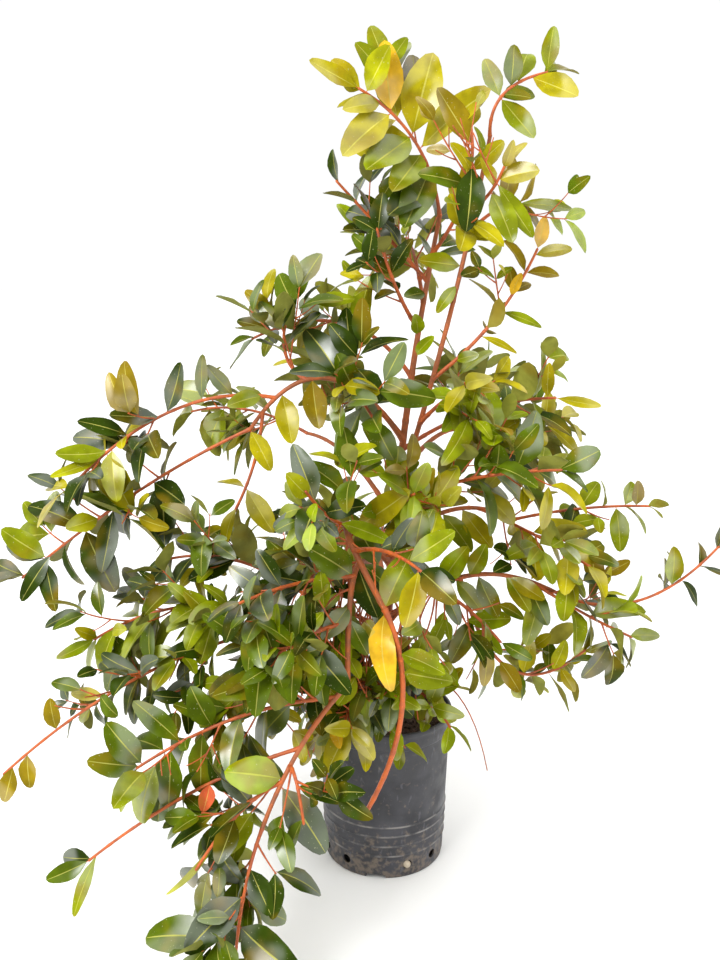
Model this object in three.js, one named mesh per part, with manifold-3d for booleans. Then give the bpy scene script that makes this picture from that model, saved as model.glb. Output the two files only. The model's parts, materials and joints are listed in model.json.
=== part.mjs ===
// A young eugenia shrub in a black nursery pot, as separate solids: pot, soil, trunk, boughs, leafy shoots.
// Millimetres, +Z up. The origin is the middle of the pot's underside, and -Y is the side it is seen from.
import * as THREE from 'three';
import { mergeVertices } from 'three/addons/utils/BufferGeometryUtils.js';
import Module from 'manifold-3d';

const { degToRad, lerp } = THREE.MathUtils;
const wasm = await Module();
wasm.setup();

// Pot sizes: a ten inch nursery pot
const RIM_RADIUS = 125;
const SHOULDER_RADIUS = 121;
const BASE_RADIUS = 111;
const POT_HEIGHT = 290;
const RIM_BAND = 34;
const BAND_CHAMFER = 3;
const LIP_HEIGHT = 9;
const LIP_DEPTH = 1.5;
const LIP_CHAMFER = 2;
const RIM_THICKNESS = 5;
const WALL = 3;
const FLOOR = 5;
const BASE_CHAMFER = 5;
const POT_SIDES = 20;
const HOOP_HEIGHTS = [46, 66, 86, 105];
const HOOP_WIDTH = 5;
const HOOP_DEPTH = 1.8;

// Drain openings round the foot of the pot, in repeats of one notch and two round holes
const DRAIN_COUNT = 12;
const DRAIN_REPEAT = 3;
const FIRST_DRAIN = degToRad(-99);
const HOLE_RADIUS = 8.5;
const HOLE_HEIGHT = 26;
const HOLE_SIDES = 6;
const NOTCH_WIDTH = 36;
const NOTCH_HEIGHT = 9;
const DRAIN_REACH = 14;

// Soil sizes
const SOIL_LEVEL = 262;
const SOIL_FLAT_RADIUS = 60;
const SOIL_EDGE_DROP = 7;

// The clear gap between solids that meet, and how far short of a limb's tip the next one starts
const GAP = 0.3;
const TIP_OVERLAP = 2;

// Facets of the limbs, stems and twigs
const TRUNK_SIDES = 8;
const TRUNK_STEPS = 12;
const BOUGH_SIDES = 5;
const BOUGH_STEPS = 6;
const STEM_SIDES = 3;
const STEM_STEPS = 5;
const TWIG_STEPS = 1;
const TAPER_POWER = 0.8;

// Stem and twig sizes. A twig's length is for the foot of its stem and falls to the second share at the tip
const STEM_RADII = [4.2, 2.8];
const STEM_SHARE_OF_PARENT = 0.9;
const TWIG_RADII = [1.9, 1.7];
const TWIG_LENGTH = 126;
const TWIG_LENGTH_AT_TIP = 0.4;
const TWIG_LENGTH_RANGE = [0.7, 1.3];
const TWIG_ANGLE = 0.85;
const TWIG_TURN = 2.4;
const TWIG_SAG = 0.04;
const TWIG_BARE = 0.2;
const LAST_TWIG = 0.9;

// Leaf sizes. Leaves stand in opposite pairs, each pair a quarter turn from the last. Only every second pair
// is made, larger than life, so that the crown keeps its fullness
const INTERNODE = 38;
const TWIG_INTERNODE = 27;
const PAIR_TURN = Math.PI / 2;
const PAIRS_KEPT = 2;
const LARGER_THAN_LIFE = 1.7;
const LEAF_LENGTH = 86;
const LEAF_LENGTH_RANGE = [0.78, 1.22];
const LEAF_WIDTH = 0.56;
const LEAF_WIDEST = 0.47;
const LEAF_KEEL = 3;
const LEAF_KEEL_AT = 0.15;
const LEAF_DROOP_RANGE = [0.06, 0.26];
const TWIG_LEAF_SIZE = 0.9;
const TIP_LEAF_SIZE = 0.8;
const BUD = 9;
const LEAF_ANGLE = 0.95;
const TIP_LEAF_ANGLE = 0.6;
const LEAF_ANGLE_STRAY = 0.25;
const LEAF_RISE_RANGE = [-0.42, 0.28];

// What a leaf's face leans to: up, out from the crown and to the front, and how far it strays
const UP = new THREE.Vector3(0, 0, 1);
const FRONT = new THREE.Vector3(0, -1, 0);
const FACE_UP = 0.5;
const FACE_OUT = 0.7;
const FACE_FRONT = 0.2;
const FACE_STRAY = 1.1;

// How often a leaf that doesn't fit is turned and made smaller, and how much of it may lie in what is there
const LEAF_TRIES = 5;
const TRY_TURN = 0.7;
const TRY_SHRINK = 0.1;
const ROOT_VOLUME = 9;

// How far foliage keeps from other shoots, limbs, the pot and the ground
const SHOOT_CLEARANCE = 3;
const LIMB_CLEARANCE = 5;
const POT_CLEARANCE = 9;
const GROUND_CLEARANCE = 22;
const AXIS_STEPS = 14;

// Each chance in the growth has its own number, and so does each node of a stem and its twigs
const LEAF_DRAW = { angle: 1, rise: 2, strayX: 3, strayY: 4, strayZ: 5, length: 6, droop: 7 };
const SPIN_DRAW = 9;
const TWIG_DRAW = { roll: 21, reach: 22 };
const STEM_NODE = 100;
const TWIG_NODE = 200;
const NODES_A_TWIG = 20;

// Trunk: it rises straight from the soil and leans right and back, over a flare at its foot
const TRUNK_FOOT = [0, 0, SOIL_LEVEL + GAP];
const TRUNK = { tip: [89, 20, 1174], bend: [-22.25, -5, 0], radii: [10.5, 3.6] };
const FLARE = 0.7;
const FLARE_SHARE = 0.03;

// Boughs: the limb each one springs from and how far along it, its tip, how far its middle stands off the
// straight line from foot to tip, and its radii at foot and tip
const BOUGHS = {
  second_leader: { from: 'trunk', at: 0.47, tip: [164, -30, 1297], bend: [8, -25, 0], radii: [5, 3.2] },
  left_arch: { from: 'trunk', at: 0.58, tip: [-231, -70, 822], bend: [-5, -15, 100], radii: [5, 3.3] },
  left_low_bough: { from: 'trunk', at: 0.17, tip: [-227, -180, 500], bend: [10, -10, 60], radii: [5.2, 3.2] },
  front_arch: { from: 'trunk', at: 0.25, tip: [-65, -260, 447], bend: [-20, -20, 140], radii: [5.6, 4.2] },
  front_hanging: { from: 'front_arch', at: 1, tip: [-191, -400, 281], bend: [-9, -9, 15], radii: [4.1, 3.2] },
  snag_arch: { from: 'trunk', at: 0.33, tip: [-6, -230, 561], bend: [-70, -15, 110], radii: [6, 4.8] },
  right_low_bough: { from: 'trunk', at: 0.21, tip: [305, -60, 527], bend: [-10, -25, 70], radii: [5.2, 3.2] },
  right_mid_bough: { from: 'trunk', at: 0.37, tip: [235, 25, 640], bend: [0, 10, 40], radii: [4.8, 3.2] },
  back_left_bough: { from: 'trunk', at: 0.42, tip: [-150, 190, 770], bend: [0, 20, 30], radii: [5, 3.2] },
  back_right_bough: { from: 'trunk', at: 0.5, tip: [190, 220, 760], bend: [0, 20, 40], radii: [5, 3.2] },
  back_low_bough: { from: 'trunk', at: 0.2, tip: [-20, 230, 520], bend: [0, 10, 60], radii: [5, 3.2] },
};

// Shoots by the limb they spring from, each with a space of its own for its foliage. Its stem is leafy from
// the share bare to the share leafyTo. twigs is how thickly side twigs are set, rise how far they climb for
// their length, and leaf the size of leaves
const PLAIN_SHOOT = { bare: 0.1, leafyTo: 1, twigs: 1, rise: 0.12, leaf: 0.95 };
const SHOOTS = {
  trunk: {
    crown_left: { at: 1, tip: [-48, -30, 1368], bend: [25, 0, 18], leaf: 1.05 },
    crown_centre: { at: 0.93, tip: [126, -90, 1305], bend: [22, -25, 0], twigs: 1.5, leaf: 0.95 },
    crown_low_left: { at: 0.88, tip: [-85, 0, 1228], bend: [10, 0, -10], bare: 0.15, twigs: 0.8, leaf: 0.75 },
    upper_left: { at: 0.79, tip: [-18, -45, 1150], bend: [-5, -10, -10], bare: 0.2, twigs: 0.8, leaf: 0.7 },
    upper_back: { at: 0.84, tip: [40, 190, 1140], bend: [0, 0, 20], bare: 0.15 },
    left_shoulder: { at: 0.7, tip: [-235, 40, 965], bend: [20, 5, 60], bare: 0.25, leaf: 0.85 },
    middle_front: { at: 0.4, tip: [40, -190, 740], bend: [0, 0, 15], bare: 0.15, twigs: 1.4, leaf: 0.85 },
    right_front: { at: 0.45, tip: [272, -185, 778], bend: [-20, -45, 25], bare: 0.2, twigs: 1.4 },
    right_shoulder: { at: 0.56, tip: [294, 0, 866], bend: [0, 20, 20], bare: 0.25 },
    pot_right: { at: 0.05, tip: [112, -112, 300], bend: [0, 0, 40], bare: 0.3, twigs: 0.8, leaf: 0.7 },
    pot_front: { at: 0.1, tip: [-80, -225, 330], bend: [0, -15, 60], bare: 0.35, twigs: 1.8, leaf: 0.8 },
  },
  second_leader: {
    crown_right: { at: 1, tip: [252, -30, 1392], bend: [-25, 0, 15], twigs: 0, leaf: 0.75 },
    crown_front: { at: 0.82, tip: [177, -120, 1244], bend: [0, -10, -10], twigs: 1.8, leaf: 0.8 },
    upper_right: { at: 0.75, tip: [245, -20, 1185], bend: [0, 0, 20], bare: 0.15, twigs: 0.8, leaf: 0.75 },
    upper_side: { at: 0.35, tip: [247, -30, 1118], bend: [15, 0, -10], bare: 0.25, twigs: 0.6, leaf: 0.65 },
    shoulder_front: { at: 0.22, tip: [150, -150, 890], bend: [9, -9, 30], bare: 0.2, twigs: 1.4, leaf: 0.85 },
  },
  left_arch: {
    arch_up: { at: 0.62, tip: [-158, -40, 1035], bend: [-25, 0, -15], leaf: 0.9 },
    arch_upper: { at: 0.82, tip: [-530, -120, 728], bend: [0, 0, 55], bare: 0.15, twigs: 1.2, rise: 0.5 },
    arch_tip: { at: 1, tip: [-618, -110, 575], bend: [10, 0, 25], rise: 0.5 },
    arch_hanging: { at: 0.91, tip: [-325, -95, 585], bend: [25, 0, 0], bare: 0.3, twigs: 0, leaf: 0.8 },
    arch_front: { at: 0.4, tip: [-25, -180, 858], bend: [0, 0, 10], bare: 0.15, twigs: 1.3 },
  },
  left_low_bough: {
    left_upper: { at: 0.55, tip: [-365, -110, 609], bend: [0, 0, 35], twigs: 1.2, leaf: 0.85 },
    left_middle: { at: 0.85, tip: [-491, -150, 480], bend: [0, 0, 40], twigs: 1.3, leaf: 0.9 },
    left_trailing: { at: 1, tip: [-622, -255, 290], bend: [0, -10, 38], twigs: 0.6, leaf: 0.75 },
  },
  front_arch: {
    front_mid_left: { at: 0.6, tip: [-225, -320, 605], bend: [0, 0, 10], twigs: 1.4 },
    front_mid_low: { at: 0.82, tip: [-200, -330, 500], bend: [0, 0, 15], twigs: 1.5 },
  },
  front_hanging: {
    front_left: { at: 0.12, tip: [-388, -330, 342], bend: [0, 0, 25], bare: 0.05, twigs: 1.2 },
    front_left_low: { at: 0.5, tip: [-464, -352, 198], bend: [0, 0, 22], bare: 0.35, twigs: 0.2, leaf: 0.85 },
    hanging_tip: { at: 1, tip: [-228, -460, 105], bend: [-5, 0, 10], bare: 0.05 },
    hanging_right: { at: 0.62, tip: [-128, -415, 300], bend: [0, 0, 20], bare: 0.05, leaf: 0.8 },
    hanging_left: { at: 0.72, tip: [-285, -430, 235], bend: [0, 0, 20], bare: 0.05, twigs: 1.3, leaf: 0.8 },
  },
  snag_arch: {
    front_top: { at: 0.5, tip: [-128, -262, 762], bend: [0, 0, -10], twigs: 1.3, leaf: 0.85 },
    front_centre: { at: 0.75, tip: [45, -325, 655], bend: [0, 0, 15] },
    snag: { at: 1, tip: [-43, -235, 198], bend: [45, -28, 20], leafyTo: 0.5, twigs: 0, radii: [4.7, 4] },
  },
  right_low_bough: {
    right_trailing: { at: 1, tip: [580, -50, 612], bend: [5, 0, -55], bare: 0.3, twigs: 0.2, leaf: 0.65 },
    right_outer: { at: 0.85, tip: [425, -95, 462], bend: [0, 0, -5], leaf: 1 },
    right_hook: { at: 0.45, tip: [365, -15, 405], bend: [-20, 0, -105], bare: 0.2, leaf: 0.9 },
    right_inner: { at: 0.3, tip: [193, -130, 467], bend: [0, 0, 10], twigs: 1.5 },
  },
  right_mid_bough: {
    right_reaching: { at: 1, tip: [470, 0, 672], bend: [0, 0, 8], twigs: 0.4, leaf: 0.7 },
    right_lower: { at: 0.7, tip: [340, -120, 598], bend: [0, 0, 5], twigs: 1.3, leaf: 1 },
  },
  back_left_bough: {
    back_left_tip: { at: 1, tip: [-385, 270, 800], bend: [0, 0, 25], twigs: 1.2 },
    back_left_up: { at: 0.6, tip: [-120, 260, 920], bend: [0, 0, 10], twigs: 1.2 },
  },
  back_right_bough: {
    back_right_tip: { at: 1, tip: [330, 345, 690], bend: [0, 0, 30], twigs: 1.2 },
    back_right_up: { at: 0.6, tip: [165, 290, 870], bend: [0, 0, 10], twigs: 1.2 },
  },
  back_low_bough: {
    back_low_tip: { at: 1, tip: [20, 450, 470], bend: [0, 0, 35], twigs: 1.2 },
    back_low_left: { at: 0.65, tip: [-260, 330, 440], bend: [0, 0, 30], twigs: 1.2 },
  },
};

const plastic = new THREE.MeshStandardMaterial({ color: 0x3b3b3f, roughness: 0.55, metalness: 0 });
const earth = new THREE.MeshStandardMaterial({ color: 0x3a2a20, roughness: 0.95, metalness: 0 });
const bark = new THREE.MeshStandardMaterial({ color: 0xb05f38, roughness: 0.7, metalness: 0 });
const foliage = new THREE.MeshStandardMaterial({ color: 0x5c7434, roughness: 0.45, metalness: 0 });

// A number from 0 to 1 that is always the same for the same shoot, node and draw.
function chance(shoot, node, draw) {
  let mix = Math.imul(shoot + 1, 0x9e3779b1) ^ Math.imul(node + 1, 0x85ebca77);
  mix ^= Math.imul(draw + 1, 0xc2b2ae3d);
  mix = Math.imul(mix ^ (mix >>> 15), 0x2c1b3c6d);
  mix = Math.imul(mix ^ (mix >>> 12), 0x297a2d39);
  return ((mix ^ (mix >>> 15)) >>> 0) / 2 ** 32;
}

function solidOf(geometry) {
  geometry.deleteAttribute('normal');
  geometry.deleteAttribute('uv');
  const merged = mergeVertices(geometry);
  return new wasm.Manifold(new wasm.Mesh({
    numProp: 3,
    vertProperties: new Float32Array(merged.attributes.position.array),
    triVerts: new Uint32Array(merged.index.array),
  }));
}

// The largest closed body of a solid, with any sealed hollow filled and any loose scrap dropped.
function oneBody(solid) {
  return solid.decompose().reduce((best, piece) => (piece.volume() > best.volume() ? piece : best));
}

function meshOf(name, solid, material) {
  const { vertProperties, triVerts } = solid.getMesh();
  const geometry = new THREE.BufferGeometry();
  geometry.setAttribute('position', new THREE.BufferAttribute(vertProperties, 3));
  geometry.setIndex(new THREE.BufferAttribute(triVerts, 1));
  geometry.computeVertexNormals();
  const mesh = new THREE.Mesh(geometry, material);
  mesh.name = name;
  return mesh;
}

function latheSolid(profile) {
  const points = profile.map(([radius, z]) => new THREE.Vector2(radius, z));
  return solidOf(new THREE.LatheGeometry(points, POT_SIDES).rotateX(Math.PI / 2));
}

// The pot's wall leans straight from its base to the shoulder under the rim band.
function wallRadius(z) {
  return lerp(BASE_RADIUS, SHOULDER_RADIUS, z / (POT_HEIGHT - RIM_BAND));
}

// Pot: one turned profile with hoops, a rim band and a lip, then its drain openings
function potSolid() {
  const shoulder = POT_HEIGHT - RIM_BAND;
  const lip = POT_HEIGHT - LIP_HEIGHT;
  const outside = [[0, 0], [BASE_RADIUS - BASE_CHAMFER, 0], [wallRadius(BASE_CHAMFER), BASE_CHAMFER]];
  for (const z of HOOP_HEIGHTS) {
    outside.push([wallRadius(z), z - HOOP_WIDTH / 2]);
    outside.push([wallRadius(z) + HOOP_DEPTH, z]);
    outside.push([wallRadius(z), z + HOOP_WIDTH / 2]);
  }
  const rim = [
    [SHOULDER_RADIUS, shoulder],
    [RIM_RADIUS - LIP_DEPTH, shoulder + BAND_CHAMFER],
    [RIM_RADIUS - LIP_DEPTH, lip],
    [RIM_RADIUS, lip + LIP_CHAMFER],
    [RIM_RADIUS, POT_HEIGHT - LIP_CHAMFER],
    [RIM_RADIUS - LIP_CHAMFER, POT_HEIGHT],
    [RIM_RADIUS - RIM_THICKNESS, POT_HEIGHT],
  ];
  const inside = [[SHOULDER_RADIUS - WALL, shoulder], [wallRadius(FLOOR) - WALL, FLOOR], [0, FLOOR]];
  return latheSolid([...outside, ...rim, ...inside]).subtract(wasm.Manifold.union(drainCutters()));
}

function drainCutters() {
  return Array.from({ length: DRAIN_COUNT }, (_, i) => {
    const isNotch = i % DRAIN_REPEAT === 0;
    const notch = new THREE.BoxGeometry(DRAIN_REACH * 2, NOTCH_WIDTH, NOTCH_HEIGHT * 2);
    const hole = new THREE.CylinderGeometry(HOLE_RADIUS, HOLE_RADIUS, DRAIN_REACH * 2, HOLE_SIDES);
    const cutter = isNotch ? notch : hole.rotateZ(Math.PI / 2);
    cutter.translate(BASE_RADIUS, 0, isNotch ? 0 : HOLE_HEIGHT);
    return solidOf(cutter.rotateZ(FIRST_DRAIN + (i * 2 * Math.PI) / DRAIN_COUNT));
  });
}

// Soil: fills the pot to a flat top that falls away at the edge
function soilSolid() {
  const fit = (z) => wallRadius(z) - WALL - GAP;
  const bottom = FLOOR + GAP;
  const edge = SOIL_LEVEL - SOIL_EDGE_DROP;
  return latheSolid([
    [0, bottom], [fit(bottom), bottom], [fit(edge), edge], [SOIL_FLAT_RADIUS, SOIL_LEVEL], [0, SOIL_LEVEL],
  ]);
}

// The curve of a limb: it leaves foot, its middle stands off the chord by bend, and it ends at tip.
function limbCurve(foot, tip, bend) {
  const middle = foot.clone().lerp(tip, 0.5);
  return new THREE.QuadraticBezierCurve3(foot, middle.addScaledVector(bend, 2), tip);
}

// A three-term curve is flat, so one normal of its plane serves all the way along.
function planeNormal(curve) {
  const across = curve.v1.clone().sub(curve.v0).cross(curve.v2.clone().sub(curve.v1));
  if (across.length() < 1) across.copy(curve.v2).sub(curve.v0).cross(FRONT);
  return across.normalize();
}

function taper([foot, tip]) {
  return (share) => lerp(foot, tip, Math.max(0, share) ** TAPER_POWER);
}

// A cylinder whose rings are carried along a curve, with a radius for each share of the way.
function tubeSolid(curve, radiusAt, sides, steps) {
  const tube = new THREE.CylinderGeometry(1, 1, 1, sides, steps);
  const normal = planeNormal(curve);
  const place = tube.attributes.position;
  for (let i = 0; i < place.count; i++) {
    const share = place.getY(i) + 0.5;
    const across = normal.clone().cross(curve.getTangent(share));
    const point = curve.getPoint(share);
    point.addScaledVector(normal, place.getX(i) * radiusAt(share));
    point.addScaledVector(across, place.getZ(i) * radiusAt(share));
    place.setXYZ(i, point.x, point.y, point.z);
  }
  return solidOf(tube);
}

// A point on the middle line of a faceted tube, which runs straight from ring to ring.
function middlePoint({ curve, steps }, share) {
  const ring = Math.min(Math.floor(share * steps), steps - 1);
  return curve.getPoint(ring / steps).lerp(curve.getPoint((ring + 1) / steps), share * steps - ring);
}

function axisPoints(curve) {
  return Array.from({ length: AXIS_STEPS + 1 }, (_, i) => curve.getPoint(i / AXIS_STEPS));
}

function distanceToAxis(point, axis) {
  const nearest = new THREE.Vector3();
  let best = Infinity;
  for (let i = 0; i < AXIS_STEPS; i++) {
    new THREE.Line3(axis[i], axis[i + 1]).closestPointToPoint(point, true, nearest);
    best = Math.min(best, nearest.distanceTo(point));
  }
  return best;
}

// Limbs by name: curve, radii and axis, and the same limb grown by the gap, which cuts what springs from it
const limbs = new Map();

function addLimb(name, foot, { tip, bend, radii }, radiusAt, sides, steps) {
  const curve = limbCurve(foot, new THREE.Vector3(...tip), new THREE.Vector3(...bend));
  const grownCurve = curve.clone();
  grownCurve.v2.addScaledVector(curve.getTangent(1), GAP);
  const limb = {
    curve,
    radii,
    radiusAt,
    axis: axisPoints(curve),
    solid: tubeSolid(curve, radiusAt, sides, steps),
    grown: tubeSolid(grownCurve, (share) => radiusAt(share) + GAP, sides, steps),
  };
  limbs.set(name, limb);
  return limb;
}

// A foot just short of the parent's tip, or on its axis, so that the cut leaves a face that follows it.
function footOn(parent, at) {
  return parent.curve.getPoint(at).addScaledVector(parent.curve.getTangent(at), at === 1 ? -TIP_OVERLAP : 0);
}

const trunkTaper = taper(TRUNK.radii);
const trunkRadius = (share) => trunkTaper(share) * (1 + FLARE * Math.exp(-share / FLARE_SHARE));
addLimb('trunk', new THREE.Vector3(...TRUNK_FOOT), TRUNK, trunkRadius, TRUNK_SIDES, TRUNK_STEPS);

for (const [name, bough] of Object.entries(BOUGHS)) {
  const parent = limbs.get(bough.from);
  const limb = addLimb(name, footOn(parent, bough.at), bough, taper(bough.radii), BOUGH_SIDES, BOUGH_STEPS);
  limb.solid = oneBody(limb.solid.subtract(parent.grown));
}

// Shoots: each one's stem, with its axis and length
const shoots = [];
for (const [from, group] of Object.entries(SHOOTS)) {
  for (const [name, shoot] of Object.entries(group)) {
    const parent = limbs.get(from);
    const foot = footOn(parent, shoot.at);
    const curve = limbCurve(foot, new THREE.Vector3(...shoot.tip), new THREE.Vector3(...shoot.bend));
    const radii = [Math.min(STEM_RADII[0], parent.radiusAt(shoot.at) * STEM_SHARE_OF_PARENT), STEM_RADII[1]];
    const stem = { curve, steps: STEM_STEPS, radii, axis: axisPoints(curve), length: curve.getLength() };
    shoots.push({ ...PLAIN_SHOOT, ...stem, ...shoot, name, parent, index: shoots.length });
  }
}

// True where a point is nearer this shoot's stem than any other's, and clear of limbs, pot and ground.
function inOwnSpace(shoot, point) {
  if (point.z < GROUND_CLEARANCE) return false;
  const overPot = Math.hypot(point.x, point.y) < RIM_RADIUS + POT_CLEARANCE;
  if (overPot && point.z < POT_HEIGHT + POT_CLEARANCE) return false;
  for (const limb of limbs.values()) {
    if (distanceToAxis(point, limb.axis) < limb.radii[0] + LIMB_CLEARANCE) return false;
  }
  const own = distanceToAxis(point, shoot.axis) + SHOOT_CLEARANCE;
  return shoots.every((other) => other === shoot || distanceToAxis(point, other.axis) > own);
}

// The way out of a stem: along it and away from it by an angle, at a roll round it.
function wayOut(curve, share, roll, angle) {
  const along = curve.getTangent(share);
  const normal = planeNormal(curve);
  const across = normal.clone().cross(along);
  const away = normal.multiplyScalar(Math.cos(roll)).addScaledVector(across, Math.sin(roll));
  return along.multiplyScalar(Math.cos(angle)).addScaledVector(away, Math.sin(angle));
}

// Side twigs leave the stem by turns to each side and shorten towards its tip.
function sideTwigs(shoot) {
  const twigs = [];
  const count = Math.round((shoot.twigs * shoot.length * (1 - shoot.bare)) / (2 * INTERNODE));
  for (let n = 0; n < count; n++) {
    const share = lerp(shoot.bare, LAST_TWIG, (n + 0.5) / count);
    const roll = 2 * Math.PI * chance(shoot.index, n, TWIG_DRAW.roll) + n * TWIG_TURN;
    const fullLength = TWIG_LENGTH * lerp(1, TWIG_LENGTH_AT_TIP, share);
    const length = fullLength * lerp(...TWIG_LENGTH_RANGE, chance(shoot.index, n, TWIG_DRAW.reach));
    const foot = middlePoint(shoot, share);
    const tip = foot.clone().addScaledVector(wayOut(shoot.curve, share, roll, TWIG_ANGLE), length);
    tip.z += shoot.rise * length;
    const curve = limbCurve(foot, tip, new THREE.Vector3(0, 0, -TWIG_SAG * length));
    if ([0.5, 0.75, 1].every((s) => inOwnSpace(shoot, curve.getPoint(s)))) {
      twigs.push({ curve, steps: TWIG_STEPS, length, firstNode: TWIG_NODE + NODES_A_TWIG * n });
    }
  }
  return twigs;
}

// Places for pairs of leaves along the leafy share of a stem or twig, counted back from its end.
function leafPlaces(shoot, wood, spacing, [from, to], size, firstNode) {
  const places = [];
  const count = Math.max(1, Math.round((wood.length * (to - from)) / spacing));
  const spin = 2 * Math.PI * chance(shoot.index, firstNode, SPIN_DRAW);
  for (let pair = 0; pair < count; pair += PAIRS_KEPT) {
    const share = to - BUD / wood.length - ((to - from) * pair) / (count + 0.5);
    const lie = pair === 0
      ? { angle: TIP_LEAF_ANGLE, size: size * TIP_LEAF_SIZE }
      : { angle: LEAF_ANGLE, size };
    for (const half of [0, 1]) {
      const roll = spin + pair * PAIR_TURN + half * Math.PI;
      places.push({ wood, share, roll, ...lie, node: firstNode + pair * 2 + half });
    }
  }
  return places;
}

// A leaf's root, way and face on one of its tries: each try turns it round the stem and makes it smaller.
function leafAt(shoot, { wood, share, roll, angle, size, node }, attempt) {
  const draw = (name) => chance(shoot.index, node, LEAF_DRAW[name]);
  const root = middlePoint(wood, share);
  const tilt = angle + LEAF_ANGLE_STRAY * (2 * draw('angle') - 1);
  const way = wayOut(wood.curve, share, roll + attempt * TRY_TURN, tilt);
  way.z += lerp(...LEAF_RISE_RANGE, draw('rise'));
  way.normalize();
  const outward = new THREE.Vector3(root.x, root.y, 0).normalize();
  const face = new THREE.Vector3(draw('strayX') - 0.5, draw('strayY') - 0.5, draw('strayZ') - 0.5);
  face.multiplyScalar(FACE_STRAY).addScaledVector(outward, FACE_OUT);
  face.addScaledVector(FRONT, FACE_FRONT).addScaledVector(UP, FACE_UP);
  face.addScaledVector(way, -face.dot(way)).normalize();
  const length = LEAF_LENGTH * LARGER_THAN_LIFE * size * lerp(...LEAF_LENGTH_RANGE, draw('length'));
  return {
    root,
    way,
    face,
    side: way.clone().cross(face),
    length: length * (1 - attempt * TRY_SHRINK),
    droop: lerp(...LEAF_DROOP_RANGE, draw('droop')),
  };
}

// A point of a blade, which droops towards its tip.
function leafPoint(leaf, along, across, below) {
  const point = leaf.root.clone().addScaledVector(leaf.way, along * leaf.length);
  point.addScaledVector(leaf.side, (across * leaf.length * LEAF_WIDTH) / 2);
  return point.addScaledVector(leaf.face, -below - leaf.droop * leaf.length * along * along);
}

// A blade is a ball of three sides pressed flat: its poles are root and tip, two of its corners the leaf's
// edges and the third a keel under them, near the root.
function leafSolid(leaf) {
  const blade = new THREE.SphereGeometry(1, 3, 2);
  const place = blade.attributes.position;
  for (let i = 0; i < place.count; i++) {
    const isPole = Math.abs(place.getY(i)) > 0.5;
    const isKeel = place.getX(i) < -0.5;
    const corner = isKeel ? LEAF_KEEL_AT : LEAF_WIDEST;
    const along = isPole ? (1 - place.getY(i)) / 2 : corner;
    const across = place.getZ(i) / Math.sin(Math.PI / 3);
    const point = leafPoint(leaf, along, across, isKeel ? LEAF_KEEL : 0);
    place.setXYZ(i, point.x, point.y, point.z);
  }
  return solidOf(blade);
}

function leafFits(shoot, leaf) {
  const probes = [[LEAF_WIDEST, 1], [LEAF_WIDEST, -1], [LEAF_WIDEST, 0], [0.75, 0], [1, 0]];
  return probes.every(([along, across]) => inOwnSpace(shoot, leafPoint(leaf, along, across, 0)));
}

// A shoot is its stem and side twigs with leaves fused on. A leaf that would leave the shoot's space, or cut
// through what is there, is tried again a few times and then left out.
function shootSolid(shoot) {
  const wood = [tubeSolid(shoot.curve, taper(shoot.radii), STEM_SIDES, STEM_STEPS)];
  const leafy = [shoot.bare, shoot.leafyTo];
  const places = leafPlaces(shoot, shoot, INTERNODE, leafy, shoot.leaf, STEM_NODE);
  for (const twig of sideTwigs(shoot)) {
    wood.push(tubeSolid(twig.curve, taper(TWIG_RADII), STEM_SIDES, TWIG_STEPS));
    const size = shoot.leaf * TWIG_LEAF_SIZE;
    places.push(...leafPlaces(shoot, twig, TWIG_INTERNODE, [TWIG_BARE, 1], size, twig.firstNode));
  }
  let solid = wasm.Manifold.union(wood);
  for (const place of places) {
    for (let attempt = 0; attempt < LEAF_TRIES; attempt++) {
      const leaf = leafAt(shoot, place, attempt);
      const blade = leafSolid(leaf);
      if (leafFits(shoot, leaf) && blade.intersect(solid).volume() < ROOT_VOLUME) {
        solid = solid.add(blade);
        break;
      }
    }
  }
  return oneBody(solid.subtract(shoot.parent.grown));
}

const plant = new THREE.Group();
plant.name = 'potted_eugenia';
plant.add(meshOf('pot', potSolid(), plastic));
plant.add(meshOf('soil', soilSolid(), earth));
for (const [name, limb] of limbs) plant.add(meshOf(name, limb.solid, bark));
for (const shoot of shoots) plant.add(meshOf(shoot.name, shootSolid(shoot), foliage));

export default plant;
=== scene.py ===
"""A potted eugenia shrub: leaves, stems, bark, nursery pot and soil, grown round the solids of the frame.

Metres, +Z up. The origin is the middle of the pot's underside, and -Y is the side it is seen from.
"""

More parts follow.
